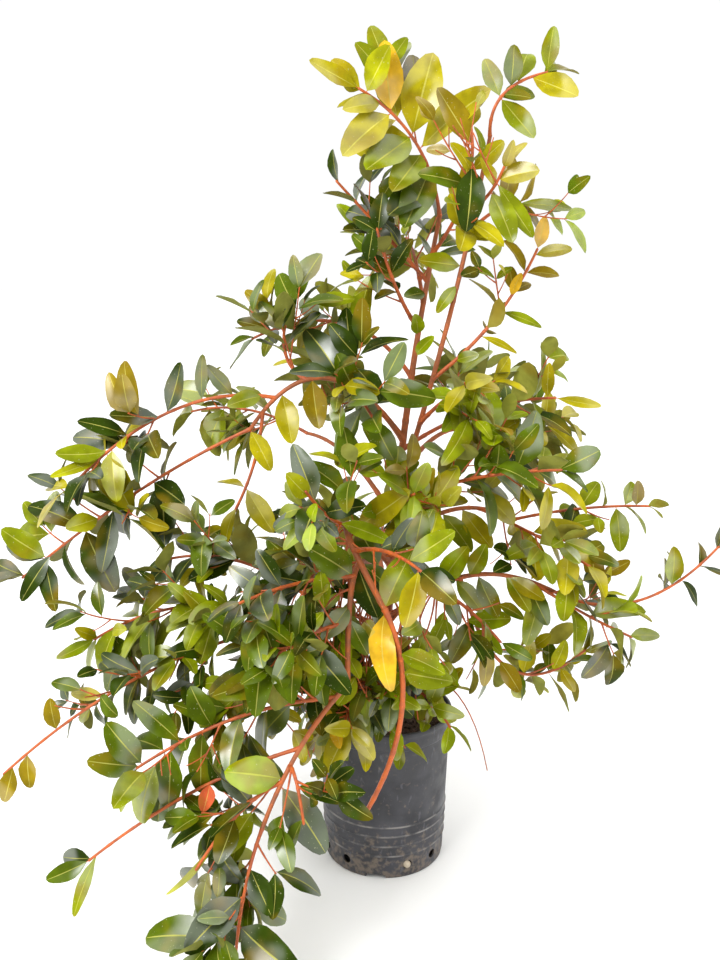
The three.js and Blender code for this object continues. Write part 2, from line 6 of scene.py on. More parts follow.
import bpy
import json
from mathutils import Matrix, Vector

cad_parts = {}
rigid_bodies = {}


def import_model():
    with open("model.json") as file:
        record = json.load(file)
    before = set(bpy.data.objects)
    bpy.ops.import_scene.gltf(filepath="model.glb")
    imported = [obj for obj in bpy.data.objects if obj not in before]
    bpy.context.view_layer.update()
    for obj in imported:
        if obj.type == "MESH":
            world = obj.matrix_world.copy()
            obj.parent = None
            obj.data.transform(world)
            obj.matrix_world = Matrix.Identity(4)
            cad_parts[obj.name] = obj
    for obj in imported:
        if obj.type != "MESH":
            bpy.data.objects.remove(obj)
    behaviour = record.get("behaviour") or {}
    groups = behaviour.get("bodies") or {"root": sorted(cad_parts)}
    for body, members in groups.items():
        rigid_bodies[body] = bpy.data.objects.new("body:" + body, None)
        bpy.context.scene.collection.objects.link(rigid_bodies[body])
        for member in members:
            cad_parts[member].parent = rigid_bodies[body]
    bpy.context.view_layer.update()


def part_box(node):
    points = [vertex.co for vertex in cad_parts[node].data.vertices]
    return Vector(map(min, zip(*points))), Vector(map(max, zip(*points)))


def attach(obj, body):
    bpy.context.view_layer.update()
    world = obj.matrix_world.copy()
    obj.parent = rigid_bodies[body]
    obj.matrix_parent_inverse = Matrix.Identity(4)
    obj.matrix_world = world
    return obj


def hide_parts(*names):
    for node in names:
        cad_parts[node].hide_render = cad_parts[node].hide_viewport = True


bl_info = {
    "name": "Potted Eugenia",
    "version": (1, 0, 0),
    "blender": (4, 5, 0),
    "location": "View3D > Sidebar > Eugenia",
    "description": "Leaves, stems, bark, pot and soil of a potted eugenia shrub",
    "category": "Object",
}

import json
import math
from collections import namedtuple
from functools import cache

import bpy
import numpy as np

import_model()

MM = 0.001
TINY = 1e-9
STRAIGHT = 1e-6
UP = np.array([0.0, 0.0, 1.0])
FRONT = np.array([0.0, -1.0, 0.0])
POT_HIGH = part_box("pot")[1]
SOIL_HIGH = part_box("soil")[1]

# Limbs in millimetres: the parent and how far along it each springs, its tip, how far its middle stands off
# the straight line from foot to tip, and its radii at foot and tip
Limb = namedtuple("Limb", "parent at tip bend radii")
TRUNK_FOOT = (0, 0, 262.3)
TRUNK = Limb(None, 0, (89, 20, 1174), (-22.25, -5, 0), (10.5, 3.6))
FLARE = 0.7
FLARE_SHARE = 0.03
TAPER_POWER = 0.8
BOUGHS = {
    "second_leader": Limb("trunk", 0.47, (164, -30, 1297), (8, -25, 0), (5, 3.2)),
    "left_arch": Limb("trunk", 0.58, (-231, -70, 822), (-5, -15, 100), (5, 3.3)),
    "left_low_bough": Limb("trunk", 0.17, (-227, -180, 500), (10, -10, 60), (5.2, 3.2)),
    "front_arch": Limb("trunk", 0.25, (-65, -260, 447), (-20, -20, 140), (5.6, 4.2)),
    "front_hanging": Limb("front_arch", 1, (-191, -400, 281), (-9, -9, 15), (4.1, 3.2)),
    "snag_arch": Limb("trunk", 0.33, (-6, -230, 561), (-70, -15, 110), (6, 4.8)),
    "right_low_bough": Limb("trunk", 0.21, (305, -60, 527), (-10, -25, 70), (5.2, 3.2)),
    "right_mid_bough": Limb("trunk", 0.37, (235, 25, 640), (0, 10, 40), (4.8, 3.2)),
    "back_left_bough": Limb("trunk", 0.42, (-150, 190, 770), (0, 20, 30), (5, 3.2)),
    "back_right_bough": Limb("trunk", 0.5, (190, 220, 760), (0, 20, 40), (5, 3.2)),
    "back_low_bough": Limb("trunk", 0.2, (-20, 230, 520), (0, 10, 60), (5, 3.2)),
}

# Shoots by the limb they grow on, in millimetres as the limbs are. What sets some apart: the share of the
# stem that is bare from its foot, where its leaves end, its side twigs as a share of the usual number, how
# far they rise, the size of its leaves, and its own radii
PLAIN_SHOOT = dict(bare=0.1, leafy_to=1.0, twigs=1.0, rise=0.12, leaf=0.95, radii=None)
Shoot = namedtuple("Shoot", ["at", "tip", "bend", *PLAIN_SHOOT], defaults=PLAIN_SHOOT.values())
SHOOTS = {
    "trunk": {
        "crown_left": Shoot(1, (-48, -30, 1368), (25, 0, 18), leaf=1.1025, bare=0.35),
        "crown_centre": Shoot(0.93, (126, -90, 1305), (22, -25, 0), twigs=1.5, leaf=0.8075),
        "crown_low_left": Shoot(0.88, (-85, 0, 1228), (10, 0, -10), bare=0.15, twigs=0.8, leaf=0.75),
        "upper_left": Shoot(0.79, (-18, -45, 1150), (-5, -10, -10), bare=0.2, twigs=0.8, leaf=0.7),
        "upper_back": Shoot(0.84, (40, 190, 1140), (0, 0, 20), bare=0.15),
        "left_shoulder": Shoot(0.7, (-235, 40, 965), (20, 5, 60), bare=0.25, leaf=0.85),
        "middle_front": Shoot(0.4, (40, -190, 740), (0, 0, 15), bare=0.15, twigs=1.4, leaf=0.85),
        "right_front": Shoot(0.45, (272, -185, 778), (-20, -45, 25), bare=0.2, twigs=1.4),
        "right_shoulder": Shoot(0.56, (294, 0, 866), (0, 20, 20), bare=0.25),
        "pot_right": Shoot(0.05, (112, -112, 300), (0, 0, 40), bare=0.3, twigs=0.8, leaf=0.7),
        "pot_front": Shoot(0.1, (-80, -225, 330), (0, -15, 60), bare=0.35, twigs=1.8, leaf=0.8),
    },
    "second_leader": {
        "crown_right": Shoot(1, (252, -30, 1392), (-25, 0, 15), twigs=0, leaf=0.75),
        "crown_front": Shoot(0.82, (177, -120, 1244), (0, -10, -10), twigs=1.8, leaf=0.76),
        "upper_right": Shoot(0.75, (245, -20, 1185), (0, 0, 20), bare=0.15, twigs=0.8, leaf=0.75),
        "upper_side": Shoot(0.35, (247, -30, 1118), (15, 0, -10), bare=0.25, twigs=0.6, leaf=0.65),
        "shoulder_front": Shoot(0.22, (150, -150, 890), (9, -9, 30), bare=0.2, twigs=1.4, leaf=0.85),
    },
    "left_arch": {
        "arch_up": Shoot(0.62, (-158, -40, 1035), (-25, 0, -15), leaf=0.9),
        "arch_upper": Shoot(0.82, (-530, -120, 728), (0, 0, 55), bare=0.5, twigs=1.2, rise=0.5, leaf=1.045),
        "arch_tip": Shoot(1, (-618, -110, 575), (10, 0, 25), rise=0.5, leaf=1.045, bare=0.3),
        "arch_hanging": Shoot(0.91, (-325, -95, 585), (25, 0, 0), bare=0.3, twigs=0, leaf=0.8),
        "arch_front": Shoot(0.4, (-25, -180, 858), (0, 0, 10), bare=0.15, twigs=1.3),
    },
    "left_low_bough": {
        "left_upper": Shoot(0.55, (-365, -110, 609), (0, 0, 35), twigs=1.2, leaf=0.8075),
        "left_middle": Shoot(0.85, (-491, -150, 480), (0, 0, 40), twigs=1.3, leaf=0.99),
        "left_trailing": Shoot(
            1, (-622, -255, 290), (0, -10, 38), bare=0.05, leafy_to=0.72, twigs=0.6, leaf=0.75
        ),
    },
    "front_arch": {
        "front_mid_left": Shoot(0.6, (-225, -320, 605), (0, 0, 10), twigs=1.4),
        "front_mid_low": Shoot(0.82, (-200, -330, 500), (0, 0, 15), twigs=1.5),
    },
    "front_hanging": {
        "front_left": Shoot(0.12, (-388, -330, 342), (0, 0, 25), bare=0.05, twigs=1.2, leaf=1.0925),
        "front_left_low": Shoot(0.5, (-464, -352, 198), (0, 0, 22), bare=0.85, twigs=0.2, leaf=0.9775),
        "hanging_tip": Shoot(1, (-228, -460, 105), (-5, 0, 10), bare=0.05, leaf=1.045),
        "hanging_right": Shoot(0.62, (-128, -415, 300), (0, 0, 20), bare=0.05, leaf=0.8),
        "hanging_left": Shoot(0.72, (-285, -430, 235), (0, 0, 20), bare=0.05, twigs=1.3, leaf=0.92),
    },
    "snag_arch": {
        "front_top": Shoot(0.5, (-128, -262, 762), (0, 0, -10), twigs=1.3, leaf=0.85),
        "front_centre": Shoot(0.75, (45, -325, 655), (0, 0, 15)),
        "snag": Shoot(1, (-43, -235, 198), (45, -28, 20), leafy_to=0.5, twigs=0, radii=(4.7, 4)),
    },
    "right_low_bough": {
        "right_trailing": Shoot(1, (580, -50, 612), (5, 0, -55), bare=0.5, twigs=0.2, leaf=0.78),
        "right_outer": Shoot(0.85, (425, -95, 462), (0, 0, -5), leaf=0.85),
        "right_hook": Shoot(0.45, (365, -15, 405), (-20, 0, -105), bare=0.2, leaf=0.765),
        "right_inner": Shoot(0.3, (193, -130, 467), (0, 0, 10), twigs=1.5, leaf=0.855),
    },
    "right_mid_bough": {
        "right_reaching": Shoot(1, (470, 0, 672), (0, 0, 8), twigs=0.4, leaf=0.7),
        "right_lower": Shoot(0.7, (340, -120, 598), (0, 0, 5), twigs=1.3, leaf=0.85),
    },
    "back_left_bough": {
        "back_left_tip": Shoot(1, (-385, 270, 800), (0, 0, 25), twigs=1.2),
        "back_left_up": Shoot(0.6, (-120, 260, 920), (0, 0, 10), twigs=1.2),
    },
    "back_right_bough": {
        "back_right_tip": Shoot(1, (330, 345, 690), (0, 0, 30), twigs=1.2),
        "back_right_up": Shoot(0.6, (165, 290, 870), (0, 0, 10), twigs=1.2),
    },
    "back_low_bough": {
        "back_low_tip": Shoot(1, (20, 450, 470), (0, 0, 35), twigs=1.2),
        "back_low_left": Shoot(0.65, (-260, 330, 440), (0, 0, 30), twigs=1.2),
    },
}

# How many times as thickly as elsewhere the finer twigs are set on some shoots
FULLER = {
    "pot_front": 5.5, "pot_right": 2, "front_mid_left": 1.3, "front_mid_low": 1.4, "front_left": 0.9,
    "front_centre": 1.4, "left_upper": 0.8, "left_middle": 1.3, "left_trailing": 4, "hanging_left": 0.7,
    "hanging_right": 2.4, "middle_front": 1.8, "shoulder_front": 1.8, "arch_front": 1.1,
    "right_front": 1.8, "right_shoulder": 1.3, "right_inner": 1.8, "right_lower": 2.4,
    "right_reaching": 0.3, "right_trailing": 0, "arch_upper": 0.3, "arch_tip": 0.35, "arch_hanging": 0,
    "crown_left": 0.2, "crown_centre": 0, "crown_front": 0.2, "crown_right": 0, "upper_side": 0.2,
    "upper_right": 0.5, "snag": 0, "upper_back": 2, "upper_left": 1.6, "crown_low_left": 1.3,
    "left_shoulder": 1.2, "back_left_tip": 0.3, "back_left_up": 2, "back_right_tip": 2.2,
    "back_right_up": 2.2, "back_low_tip": 2.6, "back_low_left": 2.4,
}

# Leaves that stand out from the rest, by the wood they grow on: how far along it, the tip in millimetres,
# the width and the bow of the middle line as shares of the leaf's length, and the tint
LONE_LEAVES = {
    "snag": (
        (0.01, (2, -272, 441), 0.38, -0.34, "golden"), (0.0, (35, -262, 671), 0.42, 0.05, "mid"),
    ),
    "crown_left": (
        (0.75, (-8, -50, 1436), 0.46, 0.05, "golden"), (1.0, (-126, -50, 1407), 0.36, 0.08, "olive"),
        (0.95, (0, -75, 1424), 0.52, -0.06, "lime"), (0.75, (-74, -70, 1261), 0.5, -0.07, "olive"),
        (0.55, (-37, -75, 1240), 0.5, 0.06, "mid"), (0.45, (153, -115, 1354), 0.36, 0.05, "olive"),
        (0.42, (5, -80, 1206), 0.45, 0.06, "mid"), (0.2, (-2, -90, 1169), 0.4, -0.06, "deep"),
        (0.3, (24, -90, 1150), 0.4, 0.05, "dark"),
    ),
    "crown_right": (
        (0.62, (195, -50, 1430), 0.5, -0.04, "dark"), (1.0, (258, -40, 1459), 0.42, 0.06, "mid"),
        (0.85, (297, -60, 1352), 0.56, -0.05, "olive"), (0.5, (224, -50, 1351), 0.5, 0.05, "dark"),
        (0.45, (230, -60, 1289), 0.45, -0.06, "mid"),
    ),
    "crown_front": (
        (0.75, (229, -130, 1235), 0.6, 0.06, "olive"), (0.5, (190, -140, 1127), 0.42, 0.05, "mid"),
        (0.7, (226, -110, 1135), 0.3, -0.06, "mid"),
    ),
    "crown_centre": (
        (0.7, (118, -135, 1143), 0.4, 0.06, "deep"), (0.55, (44, -100, 1232), 0.42, -0.05, "dark"),
        (0.85, (71, -110, 1357), 0.4, 0.06, "bronze"),
    ),
    "right_reaching": (
        (0.9, (440, -20, 724), 0.42, -0.06, "bronze"), (0.75, (414, -30, 596), 0.45, 0.06, "mid"),
    ),
    "right_trailing": (
        (0.7, (495, -70, 619), 0.42, -0.08, "mid"),
    ),
    "front_top": (
        (0.9, (-155, -290, 796), 0.45, 0.1, "lime"), (0.2, (4, -215, 667), 0.28, 0.08, "fresh"),
    ),
    "front_centre": (
        (0.95, (20, -345, 576), 0.45, 0.08, "olive"), (0.8, (93, -320, 716), 0.42, -0.05, "mid"),
    ),
    "front_hanging": (
        (0.7, (-244, -400, 375), 0.6, -0.06, "fresh"), (0.74, (-97, -400, 242), 0.46, 0.07, "deep"),
    ),
    "front_left": (
        (0.83, (-341, -340, 274), 0.42, 0.05, "dark"), (0.67, (-290, -335, 303), 0.42, -0.05, "dark"),
        (0.62, (-300, -335, 480), 0.48, 0.06, "dark"), (0.78, (-387, -335, 456), 0.36, -0.06, "dark"),
        (0.97, (-427, -345, 426), 0.5, 0.05, "dark"),
    ),
    "front_left_low": (
        (1.0, (-528, -365, 173), 0.42, 0.08, "dark"), (0.96, (-488, -370, 112), 0.2, -0.08, "mid"),
        (0.42, (-283, -365, 289), 0.6, 0.1, "rust"),
    ),
    "hanging_left": (
        (0.8, (-331, -430, 193), 0.1, 0.25, "lime"),
    ),
    "left_middle": (
        (0.98, (-510, -195, 517), 0.34, 0.06, "olive"), (0.9, (-425, -195, 515), 0.4, -0.06, "lime"),
        (1.0, (-545, -190, 462), 0.32, 0.08, "fresh"),
    ),
    "left_trailing": (
        (0.58, (-520, -205, 408), 0.32, -0.06, "olive"), (0.64, (-505, -215, 362), 0.34, 0.06, "mid"),
        (0.78, (-540, -250, 421), 0.48, 0.05, "bronze"), (0.96, (-621, -265, 246), 0.5, 0.06, "bronze"),
        (0.9, (-580, -258, 267), 0.5, -0.06, "bronze"),
    ),
    "right_shoulder": (
        (0.95, (276, -20, 930), 0.34, 0.08, "olive"), (1.0, (372, -10, 853), 0.26, -0.06, "olive"),
    ),
    "second_leader": (
        (0.66, (50, -60, 1100), 0.46, 0.06, "mid"), (0.61, (80, -60, 1015), 0.36, -0.06, "mid"),
    ),
    "trunk": (
        (0.86, (28, -20, 1040), 0.5, 0.06, "dark"), (0.78, (46, -20, 1012), 0.5, -0.08, "fresh"),
        (0.74, (80, -15, 974), 0.4, 0.06, "fresh"),
    ),
    "upper_side": (
        (0.17, (153, -50, 946), 0.5, 0.06, "mid"), (0.38, (218, -40, 947), 0.2, 0.14, "olive"),
        (0.57, (258, -40, 990), 0.24, 0.12, "mid"), (0.68, (220, -45, 1080), 0.4, 0.06, "golden"),
        (1.0, (256, -40, 1170), 0.46, -0.06, "golden"), (0.96, (302, -45, 1118), 0.4, 0.06, "olive"),
    ),
    "upper_right": (
        (0.7, (300, -45, 1180), 0.24, 0.1, "mid"),
    ),
    "arch_upper": (
        (0.55, (-452, -125, 856), 0.4, 0.1, "deep"), (0.7, (-503, -130, 847), 0.34, -0.1, "deep"),
        (0.8, (-539, -140, 795), 0.4, 0.18, "mid"), (0.84, (-545, -155, 760), 0.24, 0.1, "lime"),
        (0.78, (-442, -145, 716), 0.46, -0.06, "lime"), (0.52, (-337, -100, 939), 0.36, -0.16, "deep"),
        (0.35, (-301, -100, 952), 0.28, 0.06, "dark"), (0.2, (-298, -90, 933), 0.4, 0.08, "dark"),
        (0.06, (-263, -110, 868), 0.46, -0.08, "mid"),
    ),
    "arch_tip": (
        (0.68, (-530, -140, 669), 0.56, 0.05, "lime"), (0.9, (-640, -130, 666), 0.48, 0.06, "mid"),
        (0.62, (-478, -130, 590), 0.34, 0.06, "deep"), (0.88, (-616, -130, 540), 0.34, -0.06, "deep"),
        (0.45, (-335, -125, 706), 0.52, 0.08, "deep"),
    ),
    "left_arch": (
        (0.78, (-159, -95, 803), 0.46, 0.05, "olive"), (0.58, (-114, -85, 826), 0.48, -0.05, "bronze"),
        (1.0, (-194, -100, 758), 0.42, 0.06, "olive"),
    ),
    "front_arch": (
        (0.6, (-127, -225, 662), 0.5, -0.05, "dark"), (0.75, (-105, -260, 523), 0.45, 0.06, "dark"),
        (0.5, (-17, -195, 535), 0.5, -0.06, "deep"), (0.45, (11, -130, 557), 0.45, 0.06, "dark"),
        (0.8, (-33, -215, 479), 0.42, -0.05, "dark"),
    ),
    "snag_arch": (
        (0.28, (-16, -150, 612), 0.5, 0.05, "dark"), (0.3, (35, -175, 743), 0.32, -0.08, "olive"),
    ),
    "right_low_bough": (
        (0.42, (166, -85, 504), 0.42, 0.06, "mid"), (0.55, (194, -85, 493), 0.44, -0.06, "dark"),
        (0.7, (248, -90, 506), 0.42, 0.06, "mid"), (0.82, (280, -90, 481), 0.4, -0.06, "dark"),
        (0.34, (138, -90, 625), 0.4, 0.06, "fresh"), (0.5, (169, -90, 629), 0.42, -0.06, "mid"),
        (0.9, (243, -90, 444), 0.36, 0.06, "mid"), (0.72, (272, -95, 530), 0.4, -0.06, "olive"),
    ),
    "right_hook": (
        (0.4, (241, -60, 343), 0.5, 0.06, "bronze"), (0.85, (343, -45, 336), 0.42, -0.06, "olive"),
        (0.6, (259, -60, 443), 0.36, 0.06, "olive"), (0.8, (321, -50, 439), 0.36, -0.06, "lime"),
        (0.15, (112, -85, 408), 0.42, 0.06, "dark"),
    ),
    "right_inner": (
        (0.15, (127, -90, 482), 0.42, 0.05, "dark"), (1.0, (246, -140, 439), 0.4, -0.06, "dark"),
    ),
    "right_mid_bough": (
        (0.4, (152, -30, 596), 0.4, 0.06, "mid"), (0.56, (187, -30, 603), 0.42, -0.06, "olive"),
    ),
}
LONE_DROOP = 0.1
LONE_FOLD = 0.3
LONE_UP = 0.5

# Wood that hangs in plain view, and how far in front of it, and of the leaves that stand out, no leaf grows
IN_VIEW = {
    16 * MM: ("snag",),
    7 * MM: ("snag_arch", "front_arch", "front_hanging", "crown_left", "crown_right", "right_reaching"),
}
SEEN_FROM = (-0.046, -1.726, 1.112)
VIEW_STEPS = np.arange(14) * 18 * MM
LEAF_VIEW_RADIUS = 15 * MM
LEAF_VIEW_SHARES = (0.25, 0.5, 0.75)

# Twigs that hang about the rim of the pot: a bare one by its own numbers, and others by chance from these
# limbs. Every third of those is bare, and the rest have small leaves towards their ends
HANGING_TWIG = Limb("trunk", 0.1, (195, 0, 156), (25, 0, 70), None)
HANGING_FROM = ("front_arch", "snag_arch", "front_arch", "right_low_bough", "left_low_bough")
HANGING_TWIGS = 130
HANGING_RADII = (2.0 * MM, 1.1 * MM)
HANGING_AT = (0.05, 0.8)
HANGING_TURN = (-2.5, -0.9)
HANGING_REACH = (40 * MM, 150 * MM)
HANGING_DROP = (70 * MM, 240 * MM)
HANGING_ASIDE = 1.2
HANGING_BOW = 0.2
HANGING_PROBES = np.linspace(0.25, 1, 16)
HANGING_SEED = 500
HANGING_ASIDE_DRAW = 4
HANGING_LEAFY = (0.5, 1)
HANGING_LEAF_SIZE = 0.6
HANGING_BARE = 3

# The share of each shoot's sprays that has turned yellow, golden or bronze
TURNED = {
    "crown_left": 0.35, "crown_centre": 0.5, "crown_right": 0.5, "crown_front": 0.45, "upper_right": 0.3,
    "upper_side": 0.3, "upper_left": 0.4, "arch_up": 0.25, "arch_upper": 0.1, "arch_tip": 0.15,
    "arch_front": 0.35, "right_hook": 0.6, "right_trailing": 0.1, "right_reaching": 0.1,
    "right_shoulder": 0.3, "right_front": 0.45, "right_inner": 0.3, "right_lower": 0.25,
    "middle_front": 0.5, "shoulder_front": 0.5, "front_centre": 0.45, "front_top": 0.2,
    "arch_hanging": 0, "pot_right": 0, "pot_front": 0.05,
}
PLAIN_TURNED = 0.06

# Leaf tints with their share of the green sprays, of the turned ones and of those on shaded shoots
TINTS = {
    "deep": (0.25, 0, 0.42), "dark": (0.29, 0, 0.44), "mid": (0.28, 0, 0.11),
    "fresh": (0.09, 0.05, 0.03), "olive": (0.09, 0.46, 0), "lime": (0, 0.26, 0), "golden": (0, 0.04, 0),
    "bronze": (0, 0.19, 0), "rust": (0, 0, 0),
}
SHADED_COLUMN = 2
SHADED = (
    "left_upper", "left_middle", "left_trailing", "front_left", "front_left_low", "front_mid_left",
    "front_mid_low", "hanging_left", "hanging_tip", "hanging_right",
)

# Kinds of side twig: the number of the first, their length as a share of the longest, their radii and the
# size of their leaves
TwigKind = namedtuple("TwigKind", "first lengths radii leaf")
MAIN_TWIG = TwigKind(0, (0.7, 1.3), (1.7 * MM, 1.0 * MM), 0.92)
FINE_TWIG = TwigKind(60, (0.4, 0.9), (1.7 * MM, 1.0 * MM), 0.92)
TWIGLET = TwigKind(120, (0.3, 0.55), (1.1 * MM, 0.8 * MM), 0.78)

# Growth that the properties leave alone: twig and leaf angles in radians, and the ranges of what is left to
# chance
STEM_RADII = (4.2 * MM, 2.2 * MM)
STEM_SHARE_OF_PARENT = 0.9
TIP_INSET = 2 * MM
LENGTH_CHORDS = 30
WOOD_PROBE_SPACING = 8 * MM
TWIG_PROBES = np.array([0.5, 0.75, 1.0])
TWIG_LENGTH_AT_TIP = 0.4
MAIN_TWIG_PHASE = 0.5
FINE_TWIG_PHASE = 0.2
TWIGLETS_FROM = 0.6
TWIGLET_PLACES = (0.3, 0.7)
TWIG_ANGLE = 0.85
TWIG_TURN = 2.4
TWIG_SAG = 0.04
TWIG_BARE = 0.2
LAST_TWIG = 0.9
PAIR_TURN = math.pi / 2
PAIR_REST = 0.5
LEAF_LENGTH_RANGE = (0.72, 1.24)
LEAF_RANGES = dict(width=(0.88, 1.14), droop=(0.08, 0.5), fold=(0.05, 0.45), sway=(-0.09, 0.09))
LEAF_PROBES_ALONG = np.array([0.47, 0.47, 0.47, 0.75, 1.0])[:, None]
LEAF_PROBES_ACROSS = np.array([1, -1, 0, 0, 0])[:, None]
LEAF_ANGLE = 0.95
TIP_LEAF_ANGLE = 0.6
LEAF_ANGLE_STRAY = 0.25
LEAF_RISE_RANGE = (-0.5, 0.3)
TIP_LEAF_SIZE = 0.8
LEAF_TRIES = 4
TRY_TURN = 0.7
TRY_SHRINK = 0.08
BUD = 5 * MM
LEAF_REACH = 1.8
FACE_UP = 0.75
FACE_OUT = 0.5
FACE_FRONT = 0.2
FACE_STRAY = 1.3

# How much more than elsewhere the leaves of some shoots stand up
STANDING = {"arch_up": 0.4, "arch_upper": 0.6, "arch_tip": 0.6, "left_shoulder": 0.3, "right_reaching": 0.3}

# From the first height to the second, leaves come to stand up more and to turn more to the front
CROWN_HEIGHTS = (0.95, 1.3)
CROWN_RISE = 0.45
CROWN_FRONT = 0.8

# Clear space round a leaf: to wood beyond its bark, to other leaves, to the pot and to the ground
WOOD_CLEARANCE = 3 * MM
LEAF_CLEARANCE = 9 * MM
POT_CLEARANCE = 5 * MM
GROUND_CLEARANCE = 14 * MM

# Each chance in the growth has its own number, and so does each node of a stem and its twigs
LEAF_DRAW = dict(
    angle=1, rise=2, stray_x=3, stray_y=4, stray_z=5, length=6, droop=7, width=11, fold=12, sway=13
)
SPIN_DRAW = 9
TWIG_DRAW = dict(roll=21, reach=22, twiglet=41)
TINT_DRAW = dict(turned=31, tint=32)
STEM_NODE = 100
TWIG_NODE = 200
NODES_A_TWIG = 20

Sizes = namedtuple("Sizes", "leaf_length internode twig_internode twig_length fine_twigs")
Wood = namedtuple("Wood", "curve radii length")
Grown = namedtuple("Grown", "name index stem leafy twigs rise leaf", defaults=(None,) * 5)
Place = namedtuple("Place", "wood share roll angle size node")
Leaf = namedtuple("Leaf", "root way face length width droop fold sway tint")


def lerp(low, high, share):
    """The number that lies a share of the way from low to high."""
    return low + (high - low) * share


def unit(vectors):
    """Vectors of length one, along the last axis."""
    return vectors / np.linalg.norm(vectors, axis=-1, keepdims=True)


def full_turn(sides):
    """Angles evenly round a circle."""
    return np.linspace(0, math.tau, sides, endpoint=False)


def level_way(angle):
    """The level direction at an angle round the upright axis."""
    return np.array([math.cos(angle), math.sin(angle), 0])


def chance(shoot, node, draw):
    """A number from 0 to 1 that is always the same for the same shoot, node and draw: three products mixed
    by exclusive or, then shifted and multiplied twice, all in 32 bits."""
    word = 0xFFFFFFFF
    mix = ((shoot + 1) * 0x9E3779B1 ^ (node + 1) * 0x85EBCA77 ^ (draw + 1) * 0xC2B2AE3D) & word
    mix = (mix ^ mix >> 15) * 0x2C1B3C6D & word
    mix = (mix ^ mix >> 12) * 0x297A2D39 & word
    return (mix ^ mix >> 15) / 2**32


def limb_curve(foot, tip, bend):
    """Three control points of a curve that leaves foot, stands off the chord by bend at its middle, and ends
    at tip."""
    return np.array([foot, (foot + tip) / 2 + 2 * bend, tip])


def row_curve(foot, row):
    """The curve of a limb or shoot from its foot, by the tip and bend in its row of the table."""
    return limb_curve(foot, np.array(row.tip) * MM, np.array(row.bend) * MM)


def controls(curves, share):
    """The control points a, b and c of curves and the share s along them, in shapes that combine."""
    many = curves.ndim > 2 or np.ndim(share)
    points = [curves[..., None, i, :] if many else curves[i] for i in range(3)]
    return *points, np.asarray(share)[..., None]


def curve_point(curves, share):
    """Points (1-s)^2 a + 2s(1-s) b + s^2 c of curves with control points a, b and c."""
    a, b, c, s = controls(curves, share)
    return (1 - s) ** 2 * a + 2 * s * (1 - s) * b + s**2 * c


def curve_way(curves, share):
    """Directions of curves: the control polygon's two sides, mixed by the share."""
    a, b, c, s = controls(curves, share)
    return unit((1 - s) * (b - a) + s * (c - b))


def plane_normal(curves):
    """The normal of the plane that each curve lies in, or one square to its chord where it is straight."""
    first = curves[..., 1, :] - curves[..., 0, :]
    second = curves[..., 2, :] - curves[..., 1, :]
    normal = np.cross(first, second)
    straight = np.cross(first + second, FRONT)
    flat = np.linalg.norm(normal, axis=-1, keepdims=True) < STRAIGHT
    return unit(np.where(flat, straight, normal))


def curve_length(curve):
    """Length of a curve, summed over short chords."""
    points = curve_point(curve, np.linspace(0, 1, LENGTH_CHORDS + 1))
    return float(np.linalg.norm(np.diff(points, axis=0), axis=1).sum())


def taper(radii, share):
    """A radius that falls from foot to tip, a little faster near the foot."""
    return lerp(radii[0], radii[1], np.maximum(share, 0) ** TAPER_POWER)


def way_out(curve, share, roll, angle):
    """The direction along a stem and away from it by an angle, at a roll round it."""
    along = curve_way(curve, share)
    normal = plane_normal(curve)
    across = np.cross(normal, along)
    away = normal * math.cos(roll) + across * math.sin(roll)
    return along * math.cos(angle) + away * math.sin(angle)


@cache
def limbs():
    """Trunk and boughs by name, each a curve with its radii and length."""
    made = {}
    foot = np.array(TRUNK_FOOT) * MM
    for name, limb in [("trunk", TRUNK), *BOUGHS.items()]:
        if limb.parent:
            foot = foot_on(made[limb.parent].curve, limb.at)
        curve = row_curve(foot, limb)
        made[name] = Wood(curve, np.array(limb.radii) * MM, curve_length(curve))
    return made


def foot_on(curve, at):
    """A foot on the parent's middle line, or just short of its tip."""
    return curve_point(curve, at) - (TIP_INSET if at == 1 else 0) * curve_way(curve, at)


@cache
def shoots():
    """Every shoot's stem with its own numbers, in the order of the table."""
    made = []
    for parent_name, group in SHOOTS.items():
        parent = limbs()[parent_name]
        for name, row in group.items():
            curve = row_curve(foot_on(parent.curve, row.at), row)
            thickest = taper(parent.radii, row.at) * STEM_SHARE_OF_PARENT
            radii = (min(STEM_RADII[0], thickest), STEM_RADII[1])
            if row.radii:
                radii = np.array(row.radii) * MM
            stem = Wood(curve, radii, curve_length(curve))
            leafy = (row.bare, row.leafy_to)
            made.append(Grown(name, len(made), stem, leafy, row.twigs, row.rise, row.leaf))
    return made


@cache
def all_wood():
    """Trunk, boughs and the stems of the shoots by name."""
    return {**limbs(), **{shoot.name: shoot.stem for shoot in shoots()}}


def clear_of_pot(points):
    """True where all points stand off the pot and the ground."""
    over = np.hypot(points[:, 0], points[:, 1]) < POT_HIGH.x + POT_CLEARANCE
    on_pot = over & (points[:, 2] < POT_HIGH.z + POT_CLEARANCE)
    return not np.any(on_pot | (points[:, 2] < GROUND_CLEARANCE))


def wood_points(woods):
    """Points along wood every few millimetres, each with the radius there, as one array of four columns."""
    rows = []
    for wood in woods:
        share = np.linspace(0, 1, max(3, int(wood.length / WOOD_PROBE_SPACING)))
        rows.append(np.column_stack([curve_point(wood.curve, share), taper(wood.radii, share)]))
    return np.concatenate(rows)


def clear_of_wood(points, wood):
    """True where no point is within the clearance of the wood's bark."""
    distance = np.linalg.norm(points[:, None] - wood[None, :, :3], axis=2)
    return bool(np.all(distance > wood[None, :, 3] + WOOD_CLEARANCE))


